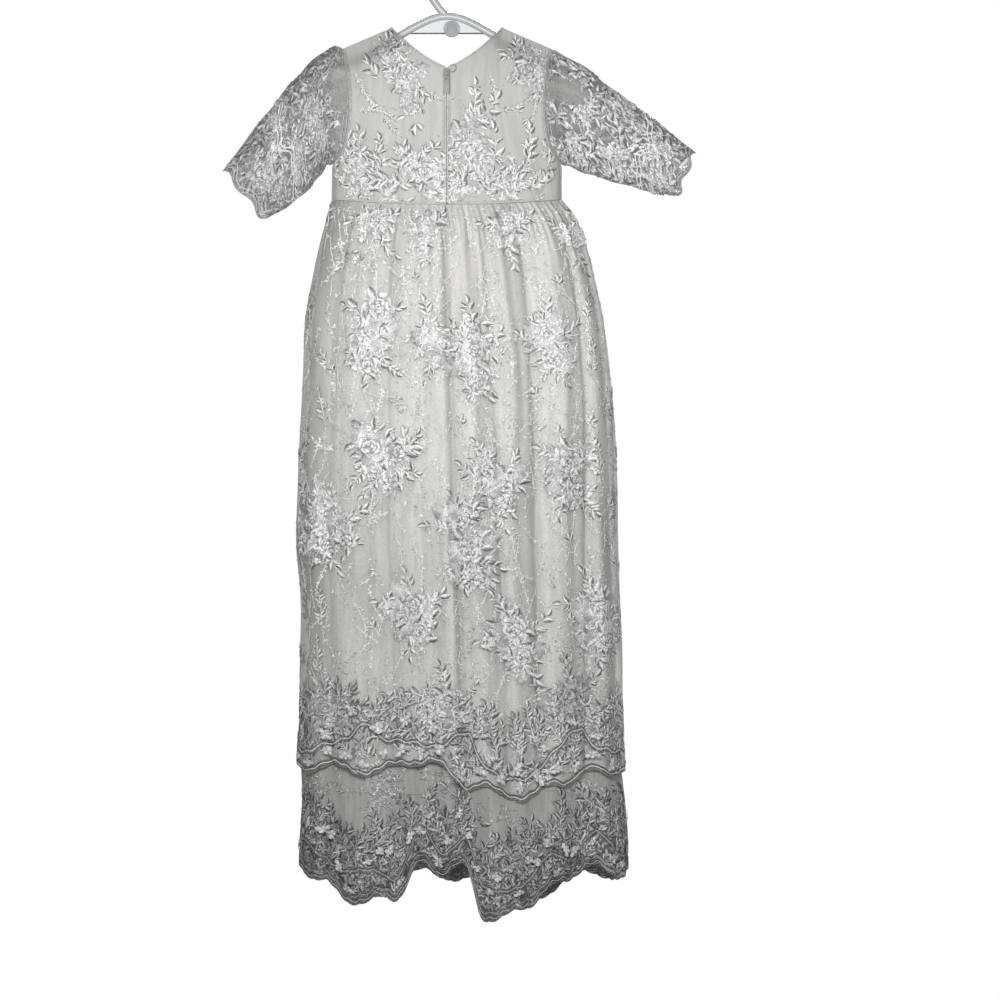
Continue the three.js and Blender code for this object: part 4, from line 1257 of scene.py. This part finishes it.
def sewBodice(name, panel):
    side, half = panel["side"], panel["half"]
    middleX = 0.55 if side < 0 else 0.0

    def place(out):
        def shape(u, v):
            across = 2 * u - 1 if half == 0 else (u if half > 0 else 1 - u)
            hand = np.where(across < 0, -1.0, 1.0) if half == 0 else half
            if side > 0:
                hand = -hand
            t = 1 - v
            x, z = bodicePlace(side, np.abs(across), t * (1.35 - 0.35 * t * t), middleX)
            x = x * hand
            tension = 0.35 * np.sin(x / 4.1 + z / 19) * ease((-205 - z) / 40) * (out > 1)
            return bodicePoint(side, x, z, out + tension)
        return shape

    columns = 64 if half == 0 else 32
    lining = makeSheet("bodice_satin_" + name, columns, 40, place(0.5), panel["cut"], satin, 0.5)
    # Painted shade on the bodice net: darkened, most at the top
    lace = makeSheet("bodice_net_" + name, columns, 40, place(1.85), panel["cut"], netOver,
                     shade=lambda u, v: mix(0.68, 0.76, v))
    bag = fillBodice(side)
    hems = np.linspace(0, neckX, 60)
    for hand in (-1, 1):
        # The grey cord along the neck edge is a painted shadow under the edge
        cord(bag, hems * hand, neckZ(side, hems) - 1.6, 1.3, 0.5, 0.5)
        x, z = armholeEdge(np.linspace(0.02, 0.97, 70))
        cord(bag, (x - 2) * hand, z, 1.5, 0.7, 0.5)
        if side < 0:
            levels = np.linspace(-118, -256, 120)
            cord(bag, 0 * levels + 1.0 * hand, levels, 1.7, 0.7, 0.62)
            # The dim thin cord outside the zip's ridge is a painted shadow of the fold edge
            cord(bag, 0 * levels + 3.4 * hand, levels, 0.7, 0.3, 0.45)

    def surface(a, b, h):
        return bodicePoint(side, a, b, 2.0 + h)

    def inside(a, b):
        within = insideBodice(side, a, b)
        return within if half == 0 else within & (a * half > 0.05)

    motifs = sew("bodice_embroidery_" + name, bag, surface, inside, thread)
    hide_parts("bodice_lining_" + name)
    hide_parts("bodice_lace_" + name)
    for obj in (lining, lace, motifs):
        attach(obj, "gown")


for name, panel in bodicePanels.items():
    sewBodice(name, panel)
print("bodice made")


# Sleeves: unlined embroidered net
sleevePanels = {
    # Shade sets how bright a sleeve's thread runs; the left sleeve is painted darker than the right, as
    # painted shade
    "left": {"hand": -1, "cut": (232, 142), "area": 0.92, "bare": (11, 18, 11, 23), "bands": (88, 92),
             "shade": 0.43},
    "right": {"hand": 1, "cut": (236, 158), "area": 0.87, "bare": (28, 22, 22, 12), "bands": (112, 116),
              "shade": 0.64},
}
sleeveHead = 122
# Roses: distance down the sleeve, height on it, radius
sleeveMotifs = [(52, 10, 12), (40, -30, 11), (84, -28, 11), (86, 34, 10), (122, 10, 11), (118, -22, 9)]


def sleeveWidth(hand, along):
    table = sleeveTables[hand]
    widths = np.hypot(table[:, 0] - table[:, 2], table[:, 1] - table[:, 3])
    rows = len(table)
    return readCurve(np.append(-1, np.arange(rows)), np.append(sleeveHead, widths), along * rows - 1)


def sewSleeve(name, panel):
    hand = panel["hand"]
    length, shade = sleeveLengths[hand], panel["shade"]
    net = makeSheet(
        "sleeve_net_" + name, 96, 40,
        lambda u, v: sleevePoint(hand, (u * 2 - 1) * math.pi * hand, v, 0 * u),
        panel["cut"], netSleeve,
    )
    bareA, bareB, bareWide, bareTall = panel["bare"]
    pieces = []
    for face in (-1, 1):
        bag = newBag()
        for a, b, radius in sleeveMotifs:
            a = a * length / 150 + dice.uniform(-5, 5)
            b = b + dice.uniform(-5, 5)
            sprays = [(anyTurn(), reach, dice.uniform(-1, 1)) for reach in (24, 22)]
            bouquet(bag, a, b, [(0, 0, radius)], 17, sprays, 1.5 * shade)
        for k in range(100):
            a = length * (0.05 + 0.92 * ((k * 0.618) % 1))
            reach = math.sin(math.pi * ((k * 0.755 + 0.3) % 1 - 0.5)) * 0.49
            b = reach * float(sleeveWidth(hand, a / length))
            if k % 2 == 0:
                trail(bag, a, b, anyTurn(), 24, dice.uniform(-2, 2), shade)
            else:
                spray(bag, a, b, anyTurn(), 18, dice.uniform(-1.4, 1.4), 13, glint(1.6 * shade),
                      hemLeaves)
            stitchedGround(bag, a, b, 8, 8, 1, glint(0.9 * shade, 0.2))
            fillOval(bag, a, b, 9, 9, 2, 7, 12, 1.5 * shade)
        across = np.linspace(-56, 56, 140)
        for back in panel["bands"]:
            cord(bag, back + 5 * np.sin(across / 9) + 2 * np.sin(across / 4), across, 1.7, 1.1, 0.95)
        scallop = 2.2 * np.cos(5 * np.arccos(np.clip(across / 34, -1, 1)))
        for back in (length - 2, length - 5.5):
            cord(bag, back + scallop, across, 1.5, 0.9, 0.6)
        wide = np.linspace(-60, 60, 120)
        for back in (3, 7):
            cord(bag, back + 0 * wide, wide, 1.3, 0.7, 0.6)

        def surface(a, b, h):
            along = np.clip(a / length, 0, 1)
            lift = np.clip(0.5 + b / sleeveWidth(hand, along), 0, 1)
            return sleevePoint(hand, -face * np.arccos(2 * lift - 1), along, 0.25 + h)

        def inside(a, b):
            along = a / length
            uneven = 1 + 0.3 * np.sin(0.7 * a + 0.4 * b) + 0.2 * np.sin(0.5 * b - 0.9 * a)
            bare = ((a - bareA) / bareWide) ** 2 + ((b - bareB) / bareTall) ** 2 < uneven
            width = 0.495 * sleeveWidth(hand, np.clip(along, 0, 1))
            return (along > 0.015) & (along < 0.995) & (np.abs(b) < width) & ~bare

        side = "back" if face < 0 else "front"
        pieces.append(sew(f"sleeve_embroidery_{name}_{side}", bag, surface, inside, thread))
    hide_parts("sleeve_" + name)
    for obj in (net, *pieces):
        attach(obj, "gown")


for name, panel in sleevePanels.items():
    sewSleeve(name, panel)
print("sleeves made")


# Skirt: lining, lace tier and flounce on each side
skirtPanels = {
    "back": {"side": -1, "tierCut": (430, 630), "liningCut": (385, 675), "flounceCut": (440, 190)},
    "front": {"side": 1, "tierCut": (430, 630), "liningCut": (385, 675), "flounceCut": (440, 190)},
}
# Bouquets: x, z, roses about it, reach, sprays
skirtBouquets = {
    -1: [
        (-75, -396, [(5, 30, 15), (-3, 4, 14), (-8, -30, 14)], 44,
         [(2.2, 34, 0.6), (1.0, 30, -0.8), (3.6, 30, 0.7), (-1.2, 34, 0.6)]),
        (29, -410, [(-2, 22, 14), (0, -2, 15), (3, -38, 12)], 42,
         [(1.6, 38, 0.3), (0.3, 24, 0.9), (-1.5, 34, 0.4), (2.6, 24, -0.7)]),
        (106, -406, [(-2, 14, 14), (4, -14, 13)], 40,
         [(1.7, 36, -0.4), (0.4, 30, 0.6), (-1.3, 34, 0.6), (3.0, 24, -0.6)]),
        (-17, -402, [(0, 8, 10)], 34, [(1.6, 34, 0.3), (-1.6, 34, -0.3)]),
        (-75, -280, [(0, 6, 12)], 24, [(-1.2, 36, 0.6), (2.8, 24, 0.7), (0.3, 22, 0.5)]),
        (-24, -284, [(0, 6, 10)], 22, [(-1.4, 34, -0.5), (0.4, 22, 0.6)]),
        (64, -282, [(0, 4, 12)], 24, [(-1.6, 40, 0.5), (2.9, 24, 0.4), (0.3, 24, 0.5)]),
        (131, -296, [(-2, 4, 11)], 22, [(-1.3, 34, 0.5), (2.4, 22, 0.4)]),
        (-66, -522, [(-14, 10, 16), (14, 6, 15), (8, -24, 12)], 44,
         [(3.7, 34, 0.6), (0.3, 36, 0.8), (-1.9, 36, -0.5), (-0.6, 30, 0.6)]),
        (48, -548, [(-6, 10, 14), (12, -6, 15), (6, -30, 11)], 42,
         [(1.9, 34, 0.5), (-1.4, 44, 0.4), (0.6, 26, 0.7), (2.9, 28, -0.5)]),
        (129, -542, [(-4, 12, 15), (8, -18, 14)], 42,
         [(2.3, 34, 0.6), (0.7, 30, 0.5), (-1.1, 40, 0.6), (-2.0, 34, 0.5)]),
        (-128, -596, [(6, 14, 14), (0, -16, 14), (24, -14, 12)], 46,
         [(2.1, 40, 0.5), (0.2, 40, 0.6), (-1.4, 36, 0.5), (3.6, 24, 0.5)]),
        (20, -612, [(-4, 24, 13), (2, -10, 15), (12, -38, 12)], 46,
         [(1.8, 40, 0.4), (2.6, 36, 0.6), (-0.8, 34, 0.6), (-1.8, 36, 0.5)]),
        (-34, -690, [(0, 12, 14), (6, -14, 13)], 40,
         [(1.6, 36, 0.4), (2.6, 34, 0.6), (0.5, 30, 0.5), (-1.8, 30, 0.4)]),
        (72, -716, [(-2, 12, 15), (6, -16, 14)], 44,
         [(1.9, 44, 0.4), (0.5, 34, 0.5), (-1.2, 34, 0.5), (3.0, 28, 0.5)]),
        (158, -690, [(0, 8, 14), (8, -22, 13)], 42, [(1.8, 40, 0.4), (2.7, 38, 0.5), (-1.7, 36, 0.4)]),
    ],
    1: [
        (-88, -300, [(0, 4, 12)], 24, [(-1.2, 36, 0.6), (2.8, 24, 0.7)]),
        (-28, -292, [(0, 4, 12)], 24, [(-1.5, 36, -0.5), (0.4, 24, 0.6)]),
        (36, -296, [(0, 4, 12)], 24, [(-1.6, 38, 0.5), (2.9, 24, 0.4)]),
        (100, -300, [(0, 4, 12)], 24, [(-1.3, 34, 0.5), (0.4, 22, 0.4)]),
        (-62, -404, [(0, 22, 15), (6, -8, 14)], 44, [(1.7, 36, 0.4), (-1.4, 38, 0.5), (3.0, 30, 0.5)]),
        (14, -420, [(-2, 16, 15), (4, -16, 14)], 44, [(1.5, 38, 0.4), (-1.6, 40, 0.5), (0.2, 30, 0.5)]),
        (92, -410, [(0, 16, 15), (-4, -14, 13)], 42, [(1.8, 36, 0.4), (-1.2, 38, 0.5), (0.3, 28, 0.5)]),
        (-104, -520, [(0, 12, 15), (8, -16, 14)], 44, [(1.6, 38, 0.5), (-1.5, 38, 0.5), (0.3, 34, 0.5)]),
        (-24, -540, [(0, 16, 15), (6, -16, 14)], 44, [(1.5, 38, 0.5), (-1.6, 38, 0.5), (3.0, 34, 0.5)]),
        (60, -530, [(0, 12, 15), (8, -16, 14)], 44, [(1.7, 38, 0.5), (-1.4, 38, 0.5), (0.2, 34, 0.5)]),
        (134, -560, [(0, 12, 14), (-6, -16, 13)], 42, [(1.8, 38, 0.5), (-1.6, 38, 0.5), (3.2, 30, 0.5)]),
        (-62, -640, [(0, 14, 15), (6, -14, 14)], 44, [(1.5, 38, 0.5), (-1.6, 38, 0.5), (0.3, 34, 0.5)]),
        (22, -656, [(0, 14, 15), (6, -14, 14)], 44, [(1.6, 38, 0.5), (-1.5, 38, 0.5), (3.0, 34, 0.5)]),
        (104, -664, [(0, 14, 15), (6, -14, 14)], 44, [(1.7, 38, 0.5), (-1.4, 38, 0.5), (0.3, 34, 0.5)]),
    ],
}
# Wavy double cord over the tier's hem, by share across
borderCords = {
    -1: (
        [0, 0.05, 0.12, 0.19, 0.245, 0.28, 0.36, 0.44, 0.52, 0.545, 0.585, 0.63, 0.69, 0.74, 0.79, 0.835,
         0.865, 0.93, 1],
        [-816, -834, -826, -818, -803, -818, -822, -827, -813, -836, -854, -861, -858, -838, -818, -809,
         -826, -833, -834],
    ),
    1: (
        [0, 0.07, 0.15, 0.22, 0.28, 0.36, 0.44, 0.5, 0.57, 0.65, 0.72, 0.79, 0.86, 0.93, 1],
        [-816, -832, -818, -808, -836, -842, -852, -824, -848, -846, -814, -826, -812, -830, -834],
    ),
}


# Distance across the cut from its middle, at a share of the half girth
def acrossAt(share, z):
    return (share - 0.5) * halfGirth(z)


# The same for a place seen at x
def cutAcross(side, x, z):
    shares = np.linspace(0, 1, 121)
    seen = skirtPoint(side, shares, np.full(121, float(z)), 0.0)[:, 0]
    return acrossAt(np.interp(x, seen, shares), z)


# Upright sprays along a border, from low to high over its hem
def leafyBorder(bag, side, hem, low, high, shade, step):
    for share in np.arange(0.01, 1, step if side < 0 else 1.15 * step):
        z = hem(side, np.float64(share))
        girth = halfGirth(z)
        for _ in range(2):
            b = z + dice.uniform(low, high)
            a = (share - 0.5 + dice.uniform(-0.01, 0.01)) * girth
            spray(bag, a, b, upward + dice.uniform(-0.9, 0.9), dice.uniform(16, 30),
                  dice.uniform(-0.9, 0.9), dice.uniform(8.5, 12), glint(shade, 0.3), hemLeaves)


# Loose bright petals over a border
def sprinkle(bag, side, hem, low, high, count, shade=1.0):
    for share in dice.uniform(0.01, 0.99, count):
        z = hem(side, share) + mix(low, high, dice.uniform() ** 1.4)
        a = acrossAt(share, z)
        fillOval(bag, a, z, 5, 5, 4, 3, 6.5, shade)
        scrolls(bag, a, z, 4, 4, 1, 9, shade)


def fillTier(side):
    bag = newBag()
    for x, z, heads, reach, sprays in skirtBouquets[side]:
        bouquet(bag, cutAcross(side, x, z), z, heads, reach, sprays, 1.2)
    for line in np.linspace(0.05, 0.95, 22):
        for z in np.arange(-288, -780, -27):
            share = line + 0.02 * math.sin(z / 37 + 40 * line)
            if dice.uniform() < 0.85:
                trail(bag, acrossAt(share, z), z + dice.uniform(-8, 8), dice.normal(downward, 0.45),
                      dice.uniform(18, 36), dice.uniform(-1, 1), glint(1.05, 0.75))
    for k in range(70):
        z = dice.uniform(-770, -285)
        a = dice.uniform(-0.47, 0.47) * halfGirth(z)
        if k % 3 == 0:
            triLeaf(bag, a, z, dice.uniform(0.9, 2.2), dice.uniform(7, 11))
        elif k % 3 == 1:
            tendril(bag, a, z, anyTurn(), dice.uniform(30, 60), dice.uniform(-2.2, 2.2))
        trail(bag, a, z, dice.normal(downward, 0.8), dice.uniform(24, 56), dice.uniform(-1.5, 1.5))
        fillOval(bag, a, z, 9, 14, 9, 2.5, 5.5)
        if k % 4 == 0:
            blossom(bag, a + 7, z - 9, dice.uniform(2.8, 4.4))
    for hand in (-1, 1):
        for z in np.arange(-280, -800, -26):
            a = hand * dice.uniform(0.36, 0.49) * halfGirth(z)
            trail(bag, a, z, downward + dice.normal(0, 0.3), dice.uniform(24, 50), dice.uniform(-0.6, 0.6),
                  0.85)
            if z % 4 < 2:
                spray(bag, a, z, upward + dice.uniform(-0.6, 0.6), 34, dice.uniform(-0.8, 0.8), 8)
    for share in np.linspace(0.02, 0.98, 40):
        top = skirtTopZ(share)
        trail(bag, acrossAt(share, top), top - dice.uniform(3, 12), downward, dice.uniform(14, 48), 0.1)
    return bag


def fillTierBorder(side):
    bag = newBag()
    shares = np.linspace(0.002, 0.998, 420)
    hem = tierHem(side, shares)
    edge = hem + 0.8 * np.sin(shares * 170)
    # The dark cords either side of each light one are painted shadows along it
    for gap, width, shade in ((1.2, 1.9, 0.08), (3.6, 1.7, 0.8), (6, 1.6, 0.08)):
        cord(bag, acrossAt(shares, hem), edge + gap, width, 1.0, shade)
    wave = readCurve(*borderCords[side], shares) + 1.6 * np.sin(shares * 120)
    # The dark cords either side of the light one are painted shadows along it
    for gap, width, shade in ((0, 1.9, 0.06), (2.2, 1.8, 0.75), (4.4, 1.9, 0.06)):
        cord(bag, acrossAt(shares, wave), wave + gap, width, 1.1, shade)
    leafyBorder(bag, side, tierHem, 30, 66, 1.15, 0.02)
    leafyBorder(bag, side, tierHem, 8, 22, 1.2, 0.036)
    sprinkle(bag, side, tierHem, 6, 80, 90, 1.3)
    for share in np.arange(0.03, 1, 0.052):
        z = tierHem(side, np.float64(share)) + dice.uniform(11, 17)
        blossom(bag, acrossAt(share, z), z, dice.uniform(5, 7.5))
    for share in np.arange(0.05, 1, 0.075):
        z = readCurve(*borderCords[side], np.float64(share)) + dice.uniform(9, 30)
        blossom(bag, acrossAt(share, z), z, dice.uniform(5, 8))
        knots(bag, acrossAt(share, z), z, 14, 12, 24, 1.2)
    heads = [(0, 4, 15), (14, -12, 11)]
    sprays = [(1.6, 40, 0.4), (2.6, 34, 0.5), (0.5, 34, 0.5)]
    for share in (0.12, 0.46, 0.8) if side < 0 else (0.2, 0.5, 0.76):
        z = readCurve(*borderCords[side], np.float64(share)) + 38
        shade = 1.0 if 0.4 < share < 0.6 else 0.72
        bouquet(bag, acrossAt(share, z), z, heads, 34, sprays, shade)
    return bag


def fillFlounce(side):
    bag = newBag()
    shares = np.linspace(0.002, 0.998, 520)
    hem = flounceHem(side, shares)
    edge = hem + 0.9 * np.sin(shares * 190)
    # The dark cords between the lighter rows are painted shadows
    rows = ((1.4, 2, 0.12), (4, 1.4, 0.5), (6.6, 1.9, 0.1), (9.2, 1.3, 0.45), (11.6, 1.7, 0.1))
    for gap, width, shade in rows:
        cord(bag, acrossAt(shares, hem), edge + gap, width, 1.1, shade)
    wave = hem + 27 + 7 * np.sin(shares * 39 + side)
    # The dark cords either side of the lighter one are painted shadows
    for gap, width, shade in ((0, 1.7, 0.1), (2.2, 1.6, 0.5), (4.4, 1.7, 0.1)):
        cord(bag, acrossAt(shares, wave), wave + gap, width, 1.2, shade)
    leafyBorder(bag, side, flounceHem, 12, 46, 0.8, 0.0135)
    leafyBorder(bag, side, flounceHem, 44, 66, 0.85, 0.024)
    leafyBorder(bag, side, flounceHem, 2, 14, 0.7, 0.024)
    sprinkle(bag, side, flounceHem, 4, 62, 80, 1.05)
    for share in np.arange(0.02, 1, 0.026):
        z = flounceHem(side, np.float64(share)) + dice.uniform(11, 58)
        blossom(bag, acrossAt(share, z), z, dice.uniform(3.8, 6.4), dice.uniform(0.75, 1.35))
        knots(bag, acrossAt(share, z), z, 9, 13, 16, 1.2, 0.8)
    for _ in range(24):
        share = dice.uniform(0.03, 0.97)
        z = tierHem(side, np.float64(share)) - dice.uniform(6, 34)
        a = acrossAt(share, z)
        trail(bag, a, z, anyTurn(), dice.uniform(14, 34), dice.uniform(-2, 2), 0.75)
        fillOval(bag, a, z, 12, 9, 10, 3, 6.5, 0.7)
        tendril(bag, a, z, anyTurn(), 34, dice.uniform(-2, 2), 0.6)
    return bag


def sewSkirt(name, panel):
    side = panel["side"]

    def sheetPlace(top, hem, out):
        def shape(u, v):
            share = u if side < 0 else 1 - u
            z = mix(top(share), hem(side, share), v)
            return skirtPoint(side, share, z, out(side, share, z))
        return shape

    def onCut(out):
        def surface(a, b, h):
            share = np.clip(0.5 + a / halfGirth(b), 0.0005, 0.9995)
            flatten = 0.3 + 0.7 * ease(np.minimum(share, 1 - share) / 0.07)
            return skirtPoint(side, share, b, out(side, share, b) + 0.6 + flatten * h)
        return surface

    def within(top, hem):
        def inside(a, b):
            share = 0.5 + a / halfGirth(b)
            held = np.clip(share, 0, 1)
            level = (b < top(held) - 1) & (b > hem(side, held) + 0.3)
            return (share > 0.002) & (share < 0.998) & level
        return inside

    # Painted light and shade of the drape, carried on the tier net's tone
    def paintedTierShade(u, v):
        share = u if side < 0 else 1 - u
        return paintedDrapeShade(side, share, mix(skirtTopZ(share), tierHem(side, share), v))

    liningPlace = sheetPlace(
        skirtTopZ, lambda s, u: liningHem + 0 * u, lambda s, u, z: liningRise(s, u, z) - 0.5)
    tierPlace = sheetPlace(skirtTopZ, tierHem, laceRise)
    flouncePlace = sheetPlace(lambda u: flounceTop + 0 * u, flounceHem, flounceRise)
    lining = makeSheet("skirt_satin_" + name, 64, 44, liningPlace, panel["liningCut"], satin, 0.5)
    tier = makeSheet("skirt_net_" + name, 250, 76, tierPlace, panel["tierCut"], netOver, shade=paintedTierShade)
    flounce = makeSheet("flounce_net_" + name, 240, 34, flouncePlace, panel["flounceCut"], netFlounce)
    onTier, inTier = onCut(laceRise), within(skirtTopZ, tierHem)
    inFlounce = within(lambda u: flounceTop - 6 + 0 * u, flounceHem)
    motifs = sew("skirt_embroidery_" + name, fillTier(side), onTier, inTier, thread)
    border = sew("skirt_border_" + name, fillTierBorder(side), onTier, inTier, thread)
    edging = sew("flounce_border_" + name, fillFlounce(side), onCut(flounceRise), inFlounce, darkThread)
    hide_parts("skirt_lining_" + name)
    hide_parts("skirt_lace_" + name)
    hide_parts("flounce_" + name)
    for obj in (lining, tier, flounce, motifs, border, edging):
        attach(obj, "gown")


for name, panel in skirtPanels.items():
    sewSkirt(name, panel)
print("skirt made")


# Floor well under the hem, soft lights, and the camera straight on to the back; these are in metres
floorSizes = {"half": 4, "place": (0.05, -0.8, -1.32)}


def makeFloor(s):
    bm = bmesh.new()
    bmesh.ops.create_grid(bm, x_segments=1, y_segments=1, size=s["half"])
    bmesh.ops.translate(bm, vec=s["place"], verts=bm.verts)
    mesh = bpy.data.meshes.new("floor")
    bm.to_mesh(mesh)
    bm.free()
    return finishObject("floor", mesh, plainMaterial("pale_floor", (0.8, 0.8, 0.8), 0.9), False)


makeFloor(floorSizes)


def addLight(name, place, target, size, power):
    light = bpy.data.lights.new(name, "AREA")
    light.shape = "RECTANGLE"
    light.size, light.size_y = size
    light.energy = power
    obj = bpy.data.objects.new(name, light)
    bpy.context.scene.collection.objects.link(obj)
    obj.location = place
    way = np.array(target) - np.array(place)
    flat = math.hypot(way[0], way[1])
    obj.rotation_euler = (math.pi / 2 + math.atan2(way[2], flat), 0, math.atan2(-way[0], way[1]))
    obj.visible_camera = False


lamps = {
    "key": {"place": (-0.12, -0.97, -0.16), "target": (0.0, 0.0, -0.36), "size": (0.6, 0.4),
            "power": 10.5},
    "fill": {"place": (0.9, -1.2, -0.1), "target": (0.0, 0.0, -0.5), "size": (0.9, 0.9), "power": 4},
    "far": {"place": (0.1, 1.3, 0.3), "target": (0.0, 0.0, -0.45), "size": (0.9, 0.9), "power": 24},
}
for name, lamp in lamps.items():
    addLight("light_" + name, **lamp)


# White to the camera, and dimmer where it lights the gown
def makeWorld(seen, lit):
    world = bpy.data.worlds.new("studio")
    world.use_nodes = True
    tree = world.node_tree
    background = tree.nodes["Background"]
    path = tree.nodes.new("ShaderNodeLightPath")
    strength = tree.nodes.new("ShaderNodeMapRange")
    strength.inputs["To Min"].default_value = lit
    strength.inputs["To Max"].default_value = seen
    tree.links.new(path.outputs["Is Camera Ray"], strength.inputs["Value"])
    tree.links.new(strength.outputs["Result"], background.inputs["Strength"])
    background.inputs["Color"].default_value = (1, 1, 1, 1)
    bpy.context.scene.world = world


makeWorld(seen=1.0, lit=0.26)
bpy.context.scene.view_settings.view_transform = "Standard"
bpy.context.scene.view_settings.look = "None"

viewSizes = {"place": (0.0557, -8.0, -0.568), "sensor": 36, "frameWidth": 1.05}
cameraData = bpy.data.cameras.new("camera")
cameraData.sensor_width = viewSizes["sensor"]
cameraData.lens = viewSizes["sensor"] * -viewSizes["place"][1] / viewSizes["frameWidth"]
cameraData.clip_end = 50
cameraObject = bpy.data.objects.new("camera", cameraData)
bpy.context.scene.collection.objects.link(cameraObject)
cameraObject.location = viewSizes["place"]
cameraObject.rotation_euler = (math.pi / 2, 0, 0)
bpy.context.scene.camera = cameraObject
print("lights and camera set")
